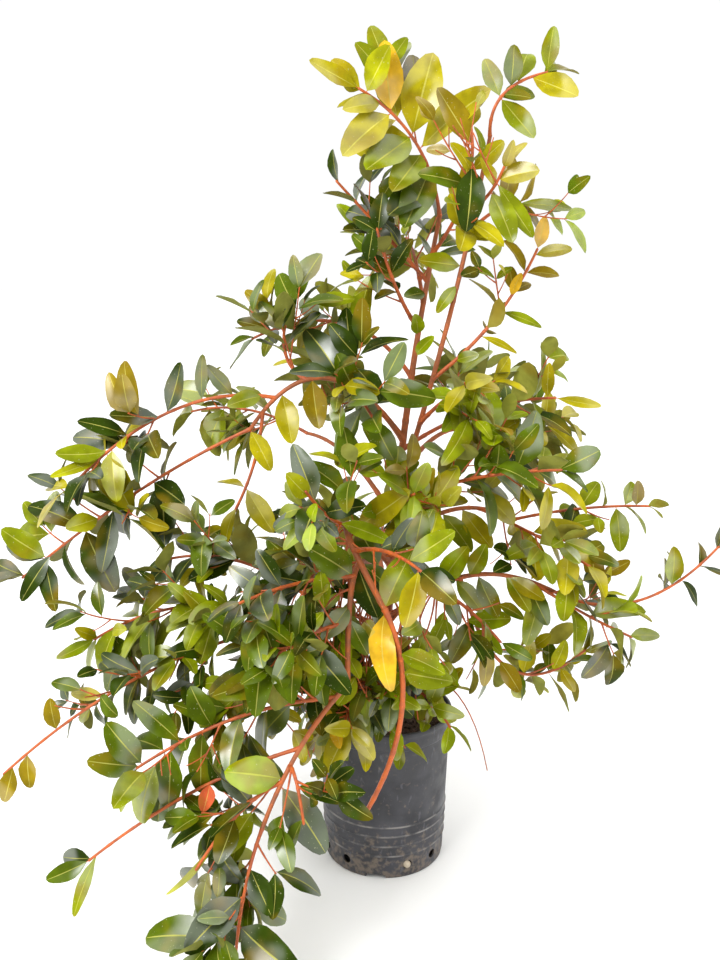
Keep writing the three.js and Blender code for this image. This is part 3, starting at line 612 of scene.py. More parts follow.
def side_twigs(shoot, sizes, limb_points):
    """Side twigs of a stem, by turns round it and shorter towards its tip: the main ones, with twiglets on
    the longer of them, then finer ones between. Gives (wood, first node, leaf size) of each."""
    stem, bare = shoot.stem, shoot.leafy[0]
    last = min(LAST_TWIG, shoot.leafy[1])
    count = round(shoot.twigs * stem.length * (1 - bare) / (2 * sizes.internode))
    fine = round(count * sizes.fine_twigs * FULLER.get(shoot.name, 1))
    twigs = []

    def add(kind, number, parent, share, longest):
        number += kind.first
        roll = math.tau * chance(shoot.index, number, TWIG_DRAW["roll"]) + number * TWIG_TURN
        length = longest * lerp(*kind.lengths, chance(shoot.index, number, TWIG_DRAW["reach"]))
        foot = curve_point(parent.curve, share)
        tip = foot + way_out(parent.curve, share, roll, TWIG_ANGLE) * length + UP * shoot.rise * length
        wood = Wood(limb_curve(foot, tip, -UP * TWIG_SAG * length), kind.radii, length)
        points = curve_point(wood.curve, TWIG_PROBES)
        if clear_of_pot(points) and clear_of_wood(points, limb_points):
            twigs.append((wood, TWIG_NODE + NODES_A_TWIG * number, kind.leaf))
            return wood
        return None

    def add_to_stem(kind, number, phase, total):
        share = lerp(bare, last, (number + phase) / total)
        return add(kind, number, stem, share, sizes.twig_length * lerp(1, TWIG_LENGTH_AT_TIP, share))

    for n in range(count):
        twig = add_to_stem(MAIN_TWIG, n, MAIN_TWIG_PHASE, count)
        if twig and twig.length > TWIGLETS_FROM * sizes.twig_length:
            for half in (0, 1):
                place = lerp(*TWIGLET_PLACES, (half + chance(shoot.index, n, TWIG_DRAW["twiglet"])) / 2)
                add(TWIGLET, 2 * n + half, twig, place, twig.length)
    for n in range(fine):
        add_to_stem(FINE_TWIG, n, FINE_TWIG_PHASE, fine)
    return twigs


def leaf_places(shoot, wood, spacing, leafy, size, first_node):
    """Pairs of leaves along the leafy share of a stem or twig, counted back from its end, each pair a
    quarter turn from the last."""
    start, end = leafy
    count = max(1, round(wood.length * (end - start) / spacing))
    spin = math.tau * chance(shoot.index, first_node, SPIN_DRAW)
    places = []
    for pair in range(count):
        share = end - BUD / wood.length - (end - start) * pair / (count + PAIR_REST)
        angle, grown = (TIP_LEAF_ANGLE, size * TIP_LEAF_SIZE) if pair == 0 else (LEAF_ANGLE, size)
        for half in (0, 1):
            roll = spin + pair * PAIR_TURN + half * math.pi
            places.append(Place(wood, share, roll, angle, grown, first_node + pair * 2 + half))
    return places


def leaf_at(shoot, place, attempt, sizes, tint):
    """One leaf's root, direction, face and sizes. Each further attempt turns it round the stem and makes it
    smaller."""
    draw = {name: chance(shoot.index, place.node, number) for name, number in LEAF_DRAW.items()}
    root = curve_point(place.wood.curve, place.share)
    tilt = place.angle + LEAF_ANGLE_STRAY * (2 * draw["angle"] - 1)
    high = min(1, max(0, (root[2] - CROWN_HEIGHTS[0]) / (CROWN_HEIGHTS[1] - CROWN_HEIGHTS[0])))
    rise = lerp(*LEAF_RISE_RANGE, draw["rise"]) + CROWN_RISE * high + STANDING.get(shoot.name, 0)
    way = way_out(place.wood.curve, place.share, place.roll + attempt * TRY_TURN, tilt)
    way = unit(way + UP * rise)
    stray = np.array([draw["stray_x"], draw["stray_y"], draw["stray_z"]]) - 0.5
    outward = unit(root * (1, 1, 0) + TINY)
    to_front = FRONT * (FACE_FRONT + CROWN_FRONT * high)
    face = stray * FACE_STRAY + outward * FACE_OUT + to_front + UP * FACE_UP
    face = unit(face - way * face.dot(way))
    length = sizes.leaf_length * place.size * lerp(*LEAF_LENGTH_RANGE, draw["length"])
    shape = [lerp(*limits, draw[name]) for name, limits in LEAF_RANGES.items()]
    return Leaf(root, way, face, length * (1 - attempt * TRY_SHRINK), *shape, tint)


def leaf_probes(leaf, width):
    """Five points of a blade: both edges and the middle at its widest, three quarters along, and its tip."""
    along = LEAF_PROBES_ALONG
    across = LEAF_PROBES_ACROSS * width * leaf.width / 2
    side = np.cross(leaf.way, leaf.face)
    return leaf.root + leaf.length * (along * leaf.way + across * side - leaf.droop * along**2 * leaf.face)


def spray_tint(shoot, first_node):
    """The tint of one spray of leaves, dealt out by chance from the shares of its shoot."""
    turned = chance(shoot.index, first_node, TINT_DRAW["turned"]) < TURNED.get(shoot.name, PLAIN_TURNED)
    column = SHADED_COLUMN if shoot.name in SHADED else int(turned)
    left = chance(shoot.index, first_node, TINT_DRAW["tint"])
    for name, shares in TINTS.items():
        left -= shares[column]
        if left <= 0:
            return name
    return name


def within(points, low, high):
    """The rows of an array whose place lies in a box."""
    return points[np.all((points[:, :3] > low) & (points[:, :3] < high), axis=1)]


def sprays(shoot, twigs, sizes):
    """The sprays of a shoot, on its stem and on each of its twigs, as (first node, leaf places)."""
    on_stem = leaf_places(shoot, shoot.stem, sizes.internode, shoot.leafy, shoot.leaf, STEM_NODE)
    made = [(STEM_NODE, on_stem)]
    for wood, node, size in twigs:
        grown = shoot.leaf * size
        made.append((node, leaf_places(shoot, wood, sizes.twig_internode, (TWIG_BARE, 1), grown, node)))
    return made


def hanging_twigs(limb_points, open_view):
    """Thin twigs that arch out of the lower limbs and hang about the pot's rim, out of the open view."""
    foot = foot_on(limbs()[HANGING_TWIG.parent].curve, HANGING_TWIG.at)
    curves = [row_curve(foot, HANGING_TWIG)]
    for n in range(HANGING_TWIGS):
        at, turn, reach, drop = (
            lerp(*limits, chance(HANGING_SEED, n, draw))
            for draw, limits in enumerate((HANGING_AT, HANGING_TURN, HANGING_REACH, HANGING_DROP))
        )
        foot = curve_point(limbs()[HANGING_FROM[n % len(HANGING_FROM)]].curve, at)
        out = level_way(turn) * reach
        aside = np.cross(out, UP) * (chance(HANGING_SEED, n, HANGING_ASIDE_DRAW) - 0.5) * HANGING_ASIDE
        bend = out * HANGING_BOW + aside + UP * drop * HANGING_BOW
        curve = limb_curve(foot, foot + out - UP * drop, bend)
        points = curve_point(curve, HANGING_PROBES)
        if clear_of_pot(points) and clear_of_wood(points, limb_points) and clear_of_wood(points, open_view):
            curves.append(curve)
    return [Wood(curve, HANGING_RADII, curve_length(curve)) for curve in curves]


def hanging_sprays(hanging, sizes):
    """The sprays of small leaves on the hanging twigs, all but every third one."""
    shoot = Grown("hanging", HANGING_SEED)
    made = []
    for n in range(1, len(hanging)):
        if n % HANGING_BARE:
            node = TWIG_NODE + NODES_A_TWIG * n
            places = leaf_places(
                shoot, hanging[n], sizes.twig_internode, HANGING_LEAFY, HANGING_LEAF_SIZE, node
            )
            made.append((node, places))
    return shoot, made


def in_front(leaves):
    """Points in front of the wood and leaves in plain view, towards where they are seen from, each with a
    radius."""
    blades = [leaf.root + leaf.way * leaf.length * share for leaf in leaves for share in LEAF_VIEW_SHARES]
    seen = [(np.array(blades), LEAF_VIEW_RADIUS)]
    for radius, names in IN_VIEW.items():
        seen.append((wood_points([all_wood()[name] for name in names])[:, :3], radius))
    rows = []
    for points, radius in seen:
        ahead = points[:, None] + VIEW_STEPS[:, None] * unit(SEEN_FROM - points)[:, None]
        ahead = ahead.reshape(-1, 3)
        rows.append(np.column_stack([ahead, np.full(len(ahead), radius)]))
    return np.concatenate(rows)


def lone_leaves(leaf_width):
    """The leaves that stand out, each from its wood to its tip, with its face to the front. The way it sets
    out makes up for its droop and sway."""
    made = []
    for name, rows in LONE_LEAVES.items():
        for at, tip, width, sway, tint in rows:
            root = curve_point(all_wood()[name].curve, at)
            reach = np.array(tip) * MM - root
            chord, face = unit(reach), FRONT + UP * LONE_UP
            face = unit(face - chord * face.dot(chord))
            way = unit(chord - np.cross(chord, face) * sway + face * LONE_DROOP)
            face = unit(face - way * face.dot(way))
            length = float(np.linalg.norm(reach)) / math.hypot(1, sway, LONE_DROOP)
            wide = width / leaf_width
            made.append(Leaf(root, way, face, length, wide, LONE_DROOP, LONE_FOLD, sway, tint))
    return made


@cache
def grow(sizes, leaf_width):
    """Grows every shoot: stems, twigs, and the leaves that fit clear of wood, other leaves, the pot and the
    ground."""
    limb_points = wood_points(limbs().values())
    twigs = [side_twigs(shoot, sizes, limb_points) for shoot in shoots()]
    leaves = lone_leaves(leaf_width)
    probes = [leaf_probes(leaf, leaf_width) for leaf in leaves]
    open_view = in_front(leaves)
    hanging = hanging_twigs(limb_points, open_view)
    twig_woods = [wood for group in twigs for wood, _, _ in group] + hanging
    wood = np.concatenate([wood_points([*all_wood().values(), *twig_woods]), open_view])
    growth = [(shoot, sprays(shoot, own, sizes)) for shoot, own in zip(shoots(), twigs)]
    margin = LEAF_REACH * sizes.leaf_length
    for shoot, groups in [*growth, hanging_sprays(hanging, sizes)]:
        every = [place for _, places in groups for place in places]
        roots = np.array([curve_point(place.wood.curve, place.share) for place in every])
        low, high = roots.min(axis=0) - margin, roots.max(axis=0) + margin
        near_wood = within(wood, low, high)
        near_leaves = within(np.concatenate(probes), low, high)
        for first_node, places in groups:
            tint = spray_tint(shoot, first_node)
            for place in places:
                for attempt in range(LEAF_TRIES):
                    leaf = leaf_at(shoot, place, attempt, sizes, tint)
                    points = leaf_probes(leaf, leaf_width)
                    if not clear_of_pot(points) or not clear_of_wood(points, near_wood):
                        continue
                    apart = np.linalg.norm(near_leaves[:, None] - points, axis=2)
                    if apart.min(initial=1) < LEAF_CLEARANCE:
                        continue
                    near_leaves = np.concatenate([near_leaves, points])
                    probes.append(points)
                    leaves.append(leaf)
                    break
    return [shoot.stem for shoot in shoots()], twig_woods, leaves


Shape = namedtuple("Shape", "points quads tris quad_slots tri_slots")

# Sides and steps of the tubes, the share of its radius that a tube's tip stands out by, and the angle in
# degrees from which an edge is sharp
TRUNK_MESH = (28, 260)
BOUGH_MESH = (18, 120)
STEM_MESH = (9, 60)
TWIG_MESH = (6, 14)
TIP_POINT = 1.2
SHARP = dict(pot=35, stone=180, soil=60, bark=80, leaf=75, floor=30)

# Swellings of the wood as shares of its radius: rings where leaves sit, and collars at the foot
LEAF_RING = 0.2
LEAF_RING_WIDTH = 3 * MM
STEM_COLLAR = 0.35
STEM_COLLAR_LENGTH = 6 * MM
BOUGH_COLLAR = 0.4
BOUGH_COLLAR_LENGTH = 14 * MM

# Bark relief as shares of the radius: how many waves go round, and the length along the wood of each
BARK_STRAY = 1.7
RIDGE_DEPTH, RIDGES, RIDGE_WANDER, RIDGE_LENGTH = 0.04, 5, 2, 0.05
FURROW_DEPTH, FURROWS, FURROW_LENGTH = 0.025, 9, 0.03
GRAIN_DEPTH, GRAINS, GRAIN_LENGTHS = 0.018, (3, 7), (0.006, 0.009)
KNOT_DEPTH, KNOT_LEAST = 0.16, 0.6
KNOT_SPACING, KNOT_MIDDLE, KNOT_WIDTH, KNOT_STRAY = 0.042, 0.02, 0.0028, 0.01


def ring_shape(rings, foot, tip, slots=None):
    """Closed skins over rows of rings: four-cornered faces from ring to ring, and a fan at each end to a
    foot and a tip point. rings is (count, rows, sides, 3), and slots gives the finish of each face as
    (rows + 1, sides)."""
    count, rows, sides = rings.shape[:3]
    each = rows * sides + 2
    points = np.concatenate([rings.reshape(count, -1, 3), foot[:, None], tip[:, None]], axis=1)
    here = np.arange(sides)
    there = (here + 1) % sides
    start = np.arange(rows - 1)[:, None] * sides
    quads = np.stack([start + here, start + there, start + there + sides, start + here + sides], axis=-1)
    last = (rows - 1) * sides
    foot_fan = np.stack([np.full(sides, each - 2), there, here], axis=-1)
    tip_fan = np.stack([np.full(sides, each - 1), last + here, last + there], axis=-1)
    first = np.arange(count)[:, None, None] * each
    if slots is None:
        slots = np.zeros((rows + 1, sides), int)
    return Shape(
        points.reshape(-1, 3),
        (quads.reshape(1, -1, 4) + first).reshape(-1, 4),
        (np.concatenate([foot_fan, tip_fan])[None] + first).reshape(-1, 3),
        np.tile(slots[1:-1].ravel(), count),
        np.tile(slots[[0, -1]].ravel(), count),
    )


def make_mesh(name, shapes, materials, sharp):
    """One mesh of several shapes, smooth but for edges sharper than an angle in degrees."""
    starts = np.cumsum([0] + [len(shape.points) for shape in shapes[:-1]])
    quads = np.concatenate([shape.quads + start for shape, start in zip(shapes, starts)])
    tris = np.concatenate([shape.tris + start for shape, start in zip(shapes, starts)])
    points = np.concatenate([shape.points for shape in shapes])
    corners = np.concatenate([quads.ravel(), tris.ravel()])
    first = np.concatenate([np.arange(len(quads)) * 4, quads.size + np.arange(len(tris)) * 3])
    finish = np.concatenate([shape.quad_slots for shape in shapes] + [shape.tri_slots for shape in shapes])
    mesh = bpy.data.meshes.new(name)
    mesh.vertices.add(len(points))
    mesh.vertices.foreach_set("co", points.ravel())
    mesh.loops.add(len(corners))
    mesh.loops.foreach_set("vertex_index", corners.astype(np.int32))
    mesh.polygons.add(len(first))
    mesh.polygons.foreach_set("loop_start", first.astype(np.int32))
    for material in materials:
        mesh.materials.append(material)
    mesh.polygons.foreach_set("material_index", finish.astype(np.int32))
    mesh.update(calc_edges=True)
    mesh.validate()
    mesh.shade_smooth()
    mesh.set_sharp_from_angle(angle=math.radians(sharp))
    return mesh


def add_object(name, mesh):
    """A new object with that mesh, at the origin."""
    made = bpy.data.objects.new(name, mesh)
    bpy.context.scene.collection.objects.link(made)
    return made


def add_piece(name, shapes, materials, nodes, sharp):
    """A piece of the plant or pot that moves with the frame and stands for the nodes it names."""
    piece = add_object(name, make_mesh(name, shapes, materials, sharp))
    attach(piece, "root")
    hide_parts(*nodes)
    return piece


def tube_shape(woods, sides, steps, swell, relief=None):
    """Tubes along curves: rings square to each curve, whose radius falls from foot to tip and swells where
    it is told. A relief of (count, steps + 1, sides) scales the radius again. The foot is flat, and the tip
    a short point."""
    curves = np.array([wood.curve for wood in woods])
    radii = np.array([wood.radii for wood in woods])
    lengths = np.array([wood.length for wood in woods])[:, None]
    share = np.linspace(0, 1, steps + 1)
    radius = lerp(radii[:, :1], radii[:, 1:], share[None] ** TAPER_POWER) * swell(share[None], lengths)
    turn = full_turn(sides)
    centre, way = curve_point(curves, share), curve_way(curves, share)
    normal = plane_normal(curves)[:, None, :]
    across = np.cross(way, np.broadcast_to(normal, way.shape))
    ring = normal[:, :, None] * np.cos(turn)[:, None] + across[:, :, None] * np.sin(turn)[:, None]
    reach = radius[:, :, None, None] * (1 if relief is None else relief[..., None])
    tip = centre[:, -1] + way[:, -1] * radius[:, -1:] * TIP_POINT
    return ring_shape(centre[:, :, None] + ring * reach, centre[:, 0], tip)


def stem_swell(share, length):
    """Rings where leaves sit: low bumps a leaf pair apart, and a collar at the foot."""
    spacing = bpy.context.scene.eugenia_growth.internode
    off = (length * (1 - share) + BUD) % spacing
    off = np.minimum(off, spacing - off)
    ring = LEAF_RING * np.exp(-((off / LEAF_RING_WIDTH) ** 2))
    return 1 + ring + STEM_COLLAR * np.exp(-share * length / STEM_COLLAR_LENGTH)


def limb_swell(share, length):
    """A collar where a bough leaves its parent."""
    return 1 + BOUGH_COLLAR * np.exp(-share * length / BOUGH_COLLAR_LENGTH)


def trunk_swell(share, length):
    """The root flare, which dies away a little above the soil."""
    return 1 + FLARE * np.exp(-share / FLARE_SHARE)


def bark_relief(woods, sides, steps):
    """Bark as a scale on the radius: ridges that run along and wander, a finer grain, and old leaf rings
    that rise to a knot on two sides."""
    share = np.linspace(0, 1, steps + 1)[None, :, None]
    turn = full_turn(sides)[None, None, :]
    length = np.array([wood.length for wood in woods])[:, None, None]
    seed = np.arange(len(woods))[:, None, None] * BARK_STRAY
    along = share * length
    ridges = RIDGE_DEPTH * np.sin(RIDGES * turn + RIDGE_WANDER * np.sin(along / RIDGE_LENGTH + seed))
    furrows = FURROW_DEPTH * np.sin(FURROWS * turn - along / FURROW_LENGTH + seed)
    grain = np.sin(GRAINS[0] * turn + along / GRAIN_LENGTHS[0] + seed)
    grain = GRAIN_DEPTH * grain * np.sin(GRAINS[1] * turn - along / GRAIN_LENGTHS[1])
    off = (along + seed * KNOT_STRAY) % KNOT_SPACING - KNOT_MIDDLE
    sides_of = np.cos(2 * turn + np.floor(along / KNOT_SPACING) * math.pi)
    knots = KNOT_DEPTH * np.exp(-(off / KNOT_WIDTH) ** 2) * lerp(1, sides_of, 1 - KNOT_LEAST)
    return 1 + ridges + furrows + grain + knots


LEAF_PETIOLE = 0.06
LEAF_ROWS = np.array([LEAF_PETIOLE, 0.13, 0.26, 0.42, 0.58, 0.74, 0.88, 0.965])
LEAF_RIB = 0.045
LEAF_COLUMNS = np.array([-1, -0.5, -LEAF_RIB, LEAF_RIB, 0.5, 1, 0])
LEAF_LIFT = np.array([0, 0.3, 0.1, 0.1, 0.3, 0, -0.6]) * MM
LEAF_BOW = 0.22
LEAF_WAVE = 0.3
STALK_HALF_WIDTH = 0.012
FOOT_POWER = 0.93
TIP_POWER = 0.52
WAVE_LEAST = 0.3
WAVES_ALONG = 8
WAVES_BY_SWAY = 40
WAVES_BY_SIDE = 2
BLADE, RIB, UNDERSIDE, STALK = range(4)
LEAF_SLOTS = np.tile([BLADE, BLADE, RIB, BLADE, BLADE, UNDERSIDE, UNDERSIDE], (len(LEAF_ROWS) + 1, 1))
LEAF_SLOTS[0] = STALK


def leaf_shape(leaves, width):
    """Blades as rings of seven points: six over the top from edge to edge, with two close together for the
    rib, and one under it. Past the stalk the half width is sin(pi u^0.93) to a power that falls from 1 to
    0.48, which makes a wedge at the foot and a round tip. The middle line droops by the square of the way
    along and sways to one side. Each half lifts from the rib to the edge, by a fold that waves along the
    blade, and bows up between."""
    get = lambda name: np.array([getattr(leaf, name) for leaf in leaves])
    root, way, face = get("root"), get("way"), get("face")
    sizes = ("length", "width", "droop", "fold", "sway")
    length, wide, droop, fold, sway = (get(name)[:, None, None] for name in sizes)
    side = np.cross(way, face)
    along = LEAF_ROWS[None, :, None]
    past = np.clip((along - LEAF_PETIOLE) / (1 - LEAF_PETIOLE), 0, 1)
    swell = np.sin(math.pi * past**FOOT_POWER) ** (1 - TIP_POWER * past)
    half = np.maximum(swell * width * wide / 2, STALK_HALF_WIDTH) * length
    across = LEAF_COLUMNS[None, None, :]
    off = np.abs(across)
    wave = np.sin(WAVES_ALONG * along + WAVES_BY_SWAY * sway + WAVES_BY_SIDE * np.sign(across))
    rise = fold + LEAF_WAVE * (WAVE_LEAST + np.abs(sway)) * wave
    lift = half * off * (rise + LEAF_BOW * (1 - off)) + LEAF_LIFT
    stray = lambda share: sway * share**2 * length
    rings = (
        root[:, None, None]
        + way[:, None, None] * (along * length)[..., None]
        + side[:, None, None] * (across * half + stray(along))[..., None]
        + face[:, None, None] * (lift - droop * length * along**2)[..., None]
    )
    tip = root + way * length[:, 0] + side * stray(1.0)[:, 0] - face * (droop * length)[:, 0]
    return ring_shape(rings, root, tip, LEAF_SLOTS)


# Soft noise: the sizes of its waves, the span of their offsets, how far each folds over the last, and the
# sum that it is brought down from
NOISE_WAVES = (1, 1.7, 2.6, 4.1, 6.3)
NOISE_OFFSET = 6.28
NOISE_FOLD = 1.3
NOISE_SUM = 2.2


def smooth_noise(points, scale, seed):
    """A soft bump map from -1 to 1: five waves in seeded directions, each over the last one's folds."""
    rng = np.random.default_rng(seed)
    value = np.zeros(points.shape[:-1])
    for size in NOISE_WAVES:
        way = unit(rng.normal(size=3)) * scale * size
        value += np.sin(points @ way + rng.uniform(0, NOISE_OFFSET) + NOISE_FOLD * value) / size
    return value / NOISE_SUM


def srgb(colour):
    """Scene-linear colour with full alpha, from display values, by the usual two-part curve."""
    values = np.array(colour[:3])
    linear = np.where(values <= 0.04045, values / 12.92, ((values + 0.055) / 1.055) ** 2.4)
    return (*linear.tolist(), 1.0)


def tinted(colour, by):
    """A linear colour made lighter or darker by a factor."""
    return (*(min(1.0, channel * by) for channel in colour[:3]), 1.0)


def mixed(low, high, share):
    """A linear colour part of the way from one to another."""
    return tuple(lerp(a, b, share) for a, b in zip(low, high))


def add_node(tree, kind, inputs=None, **settings):
    """A shader node with its settings, whose inputs are numbers, colours or other nodes' outputs."""
    made = tree.nodes.new(kind)
    for key, value in settings.items():
        setattr(made, key, value)
    for key, value in (inputs or {}).items():
        if isinstance(value, bpy.types.NodeSocket):
            tree.links.new(value, made.inputs[key])
        else:
            made.inputs[key].default_value = value
    return made


def new_finish(name, roughness, specular=0.5):
    """An empty finish: its material, node tree, shader and the piece's own coordinates."""
    material = bpy.data.materials.new(name)
    material.use_nodes = True
    tree = material.node_tree
    shader = tree.nodes["Principled BSDF"]
    shader.inputs["Roughness"].default_value = roughness
    shader.inputs["Specular IOR Level"].default_value = specular
    place = add_node(tree, "ShaderNodeTexCoord").outputs["Object"]
    return material, tree, shader, place


def noise(tree, place, scale, detail=2.0, stretch=(1, 1, 1)):
    """Noise from 0 to 1 on a place that may be stretched."""
    turned = add_node(tree, "ShaderNodeMapping", {"Vector": place, "Scale": stretch}).outputs[0]
    inputs = {"Vector": turned, "Scale": scale, "Detail": detail}
    return add_node(tree, "ShaderNodeTexNoise", inputs).outputs[0]


def band(tree, value, low, high, to=1.0):
    """A smooth step from 0 to a number as the value goes from low to high."""
    inputs = {"Value": value, "From Min": low, "From Max": high, "To Min": 0.0, "To Max": to}
    return add_node(tree, "ShaderNodeMapRange", inputs, interpolation_type="SMOOTHSTEP").outputs[0]


def blend(tree, share, low, high):
    """Colours mixed by a share."""
    return add_node(tree, "ShaderNodeMix", {0: share, 6: low, 7: high}, data_type="RGBA").outputs[2]


def patch(tree, place, own, stretch=(1, 1, 1)):
    """Patches where noise passes a band, from 0 to their full strength."""
    return band(tree, noise(tree, place, own.scale, own.detail, stretch), own.low, own.high, own.most)


def toned(tree, share, colour, tones):
    """One colour from a darker to a lighter tone of it, by a share."""
    return blend(tree, share, *(tinted(colour, tone) for tone in tones))


def bump(tree, shader, place, own):
    """Fine relief on a shader, by noise."""
    height = noise(tree, place, own.scale, own.detail)
    inputs = {"Height": height, "Strength": own.strength, "Distance": own.depth}
    tree.links.new(add_node(tree, "ShaderNodeBump", inputs).outputs[0], shader.inputs["Normal"])


# Patches on a surface: the scale and detail of their noise, the band of it that they begin and are full in,
# and their full strength. Grains: the scale and detail of their noise, their strength and depth. A skin's
# roughness, its gloss and its dust specks. Tones are factors on a colour
Patch = namedtuple("Patch", "scale detail low high most", defaults=(1.0,))
Grain = namedtuple("Grain", "scale detail strength depth")
Skin = namedtuple("Skin", "roughness gloss specks")
BLADE_SKIN = Skin(0.42, 0.7, 0.35)
GLOSSY_SKIN = BLADE_SKIN._replace(gloss=1.0)
GLOSSY_TINTS = ("deep", "dark", "mid")
RIB_SKIN = Skin(0.45, 0.3, 0.0)
UNDER_SKIN = Skin(0.6, 0.0, 0.15)
OWN_TINT = 0.5
LEAF_SPECULAR = 0.06
COAT_ROUGHNESS = 0.36
COAT_IOR = 1.9
LEAF_GLOSS = Patch(12, 1.0, 0.47, 0.57)
LEAF_BLOTCH = Patch(24, 3.0, 0.34, 0.68)
LEAF_TONES = (0.72, 1.25)
LEAF_BLUSH = Patch(15, 2.0, 0.5, 0.72, 0.55)
LEAF_DUST = Patch(300, 1.0, 0.7, 0.77)
DUST_COLOUR = (0.5, 0.5, 0.3, 1)
LEAF_GRAIN = Grain(150, 2.0, 0.15, 0.8 * MM)
OLD_BARK_ROUGHNESS = 0.6
YOUNG_BARK_ROUGHNESS = 0.5
BARK_BLOTCH = Patch(55, 4.0, 0.36, 0.66)
BARK_FLECK = Patch(260, 2.0, 0.62, 0.72, 0.5)
FLECK_TONE = 1.9
BARK_GRAIN = Grain(220, 3.0, 0.35, 0.8 * MM)
POT_ROUGHNESS = 0.5
POT_CLOUD = Patch(16, 5.0, 0.3, 0.7)
POT_TONES = (0.7, 1.4)
POT_SCRATCH = Patch(120, 3.0, 0.62, 0.7, 0.4)
SCRATCH_STRETCH = (1, 1, 0.35)
SCRATCH_TONE = 3.6
EARTH_NOISE = (95, 6.0)
EARTH_BY_HEIGHT = (0.12, 0.0, 0.2)
EARTH_BAND = (0.58, 0.8, 0.75)
EARTH_TONE = 0.8
# Pale band on the hoops: partly scuffed plastic, partly a painted highlight on their crests
POT_WEAR_AND_HIGHLIGHT = Patch(30, 4.0, 0.4, 0.66, 0.8)
WEAR_AND_HIGHLIGHT_OFF_HOOP = (2.6 * MM, 0.8 * MM)
POT_DULL = Patch(22, 3.0, 0.3, 0.7, 0.3)
POT_LEAST_ROUGH = 0.36
POT_GRAIN = Grain(70, 5.0, 0.25, 1.5 * MM)
SOIL_ROUGHNESS = 0.95
DULL_SPECULAR = 0.2
SOIL_CRUMB = Patch(120, 4.0, 0.35, 0.65)
SOIL_TONES = (0.5, 1.5)
SOIL_GRIT = Patch(420, 2.0, 0.63, 0.7, 0.7)
SOIL_GRAIN = Grain(240, 4.0, 0.8, 3 * MM)
STONE_ROUGHNESS = 0.8
STONE_NOISE = (150, 3.0)
STONE_TONES = (0.7, 1.15)
FLOOR_ROUGHNESS = 0.7
FLOOR_NOISE = 3.0
FLOOR_TONES = (0.985, 1)


def leaf_finish(name, colour, blush, skin):
    """Leaf skin: one tint with soft blotches, a blush in places, pale dust specks, a faint grain, and waxy
    gloss in places."""
    material, tree, shader, place = new_finish(name, skin.roughness, LEAF_SPECULAR)
    gloss = patch(tree, place, LEAF_GLOSS._replace(most=skin.gloss))
    tree.links.new(gloss, shader.inputs["Coat Weight"])
    shader.inputs["Coat Roughness"].default_value = COAT_ROUGHNESS
    shader.inputs["Coat IOR"].default_value = COAT_IOR
    paint = toned(tree, patch(tree, place, LEAF_BLOTCH), colour, LEAF_TONES)
    paint = blend(tree, patch(tree, place, LEAF_BLUSH), paint, blush)
    dust = patch(tree, place, LEAF_DUST._replace(most=skin.specks))
    tree.links.new(blend(tree, dust, paint, DUST_COLOUR), shader.inputs["Base Color"])
    bump(tree, shader, place, LEAF_GRAIN)
    return material


def bark_finish(name, colour, shade, roughness):
    """Bark: reddish brown with darker blotches and pale flecks."""
    material, tree, shader, place = new_finish(name, roughness)
    paint = blend(tree, patch(tree, place, BARK_BLOTCH), colour, shade)
    fleck = patch(tree, place, BARK_FLECK)
    tree.links.new(blend(tree, fleck, paint, tinted(colour, FLECK_TONE)), shader.inputs["Base Color"])
    bump(tree, shader, place, BARK_GRAIN)
    return material


def pot_finish(colours):
    """Black nursery plastic: clouded and scratched, with a pale band on the hoops that is partly scuffing
    and partly a painted highlight on their crests, and dried earth towards the foot."""
    base, dirt = srgb(colours.pot), srgb(colours.dirt)
    material, tree, shader, place = new_finish("pot_plastic", POT_ROUGHNESS)
    math_node = lambda kind, a, b: add_node(tree, "ShaderNodeMath", {0: a, 1: b}, operation=kind).outputs[0]
    height = add_node(tree, "ShaderNodeSeparateXYZ", {0: place}).outputs["Z"]
    paint = toned(tree, patch(tree, place, POT_CLOUD), base, POT_TONES)
    scratch = patch(tree, place, POT_SCRATCH, SCRATCH_STRETCH)
    paint = blend(tree, scratch, paint, tinted(base, SCRATCH_TONE))
    earth = math_node("ADD", band(tree, height, *EARTH_BY_HEIGHT), noise(tree, place, *EARTH_NOISE))
    paint = blend(tree, band(tree, earth, *EARTH_BAND), paint, tinted(dirt, EARTH_TONE))
    # A pale band round each hoop: partly scuffed plastic, partly a painted highlight on its crest
    hoop_wear_and_highlight = 0.0
    for hoop in HOOP_HEIGHTS:
        off = math_node("ABSOLUTE", math_node("SUBTRACT", height, float(hoop)), 0.0)
        hoop_wear_and_highlight = math_node("ADD", hoop_wear_and_highlight, band(tree, off, *WEAR_AND_HIGHLIGHT_OFF_HOOP))
    worn_and_highlight = math_node("MULTIPLY", hoop_wear_and_highlight, patch(tree, place, POT_WEAR_AND_HIGHLIGHT))
    tree.links.new(blend(tree, worn_and_highlight, paint, srgb(colours.scuff)), shader.inputs["Base Color"])
    rough = math_node("ADD", patch(tree, place, POT_DULL), POT_LEAST_ROUGH)
    tree.links.new(rough, shader.inputs["Roughness"])
    bump(tree, shader, place, POT_GRAIN)
    return material


def soil_finish(colours):
    """Moist potting mix: dark crumbs with paler bark and grit."""
    material, tree, shader, place = new_finish("potting_mix", SOIL_ROUGHNESS, DULL_SPECULAR)
    paint = toned(tree, patch(tree, place, SOIL_CRUMB), srgb(colours.soil), SOIL_TONES)
    grit = patch(tree, place, SOIL_GRIT)
    tree.links.new(blend(tree, grit, paint, srgb(colours.dirt)), shader.inputs["Base Color"])
    bump(tree, shader, place, SOIL_GRAIN)
    return material


def stone_finish(colours):
    """Pale stone, a little mottled."""
    material, tree, shader, place = new_finish("drain_stone", STONE_ROUGHNESS)
    paint = toned(tree, noise(tree, place, *STONE_NOISE), srgb(colours.stone), STONE_TONES)
    tree.links.new(paint, shader.inputs["Base Color"])
    return material


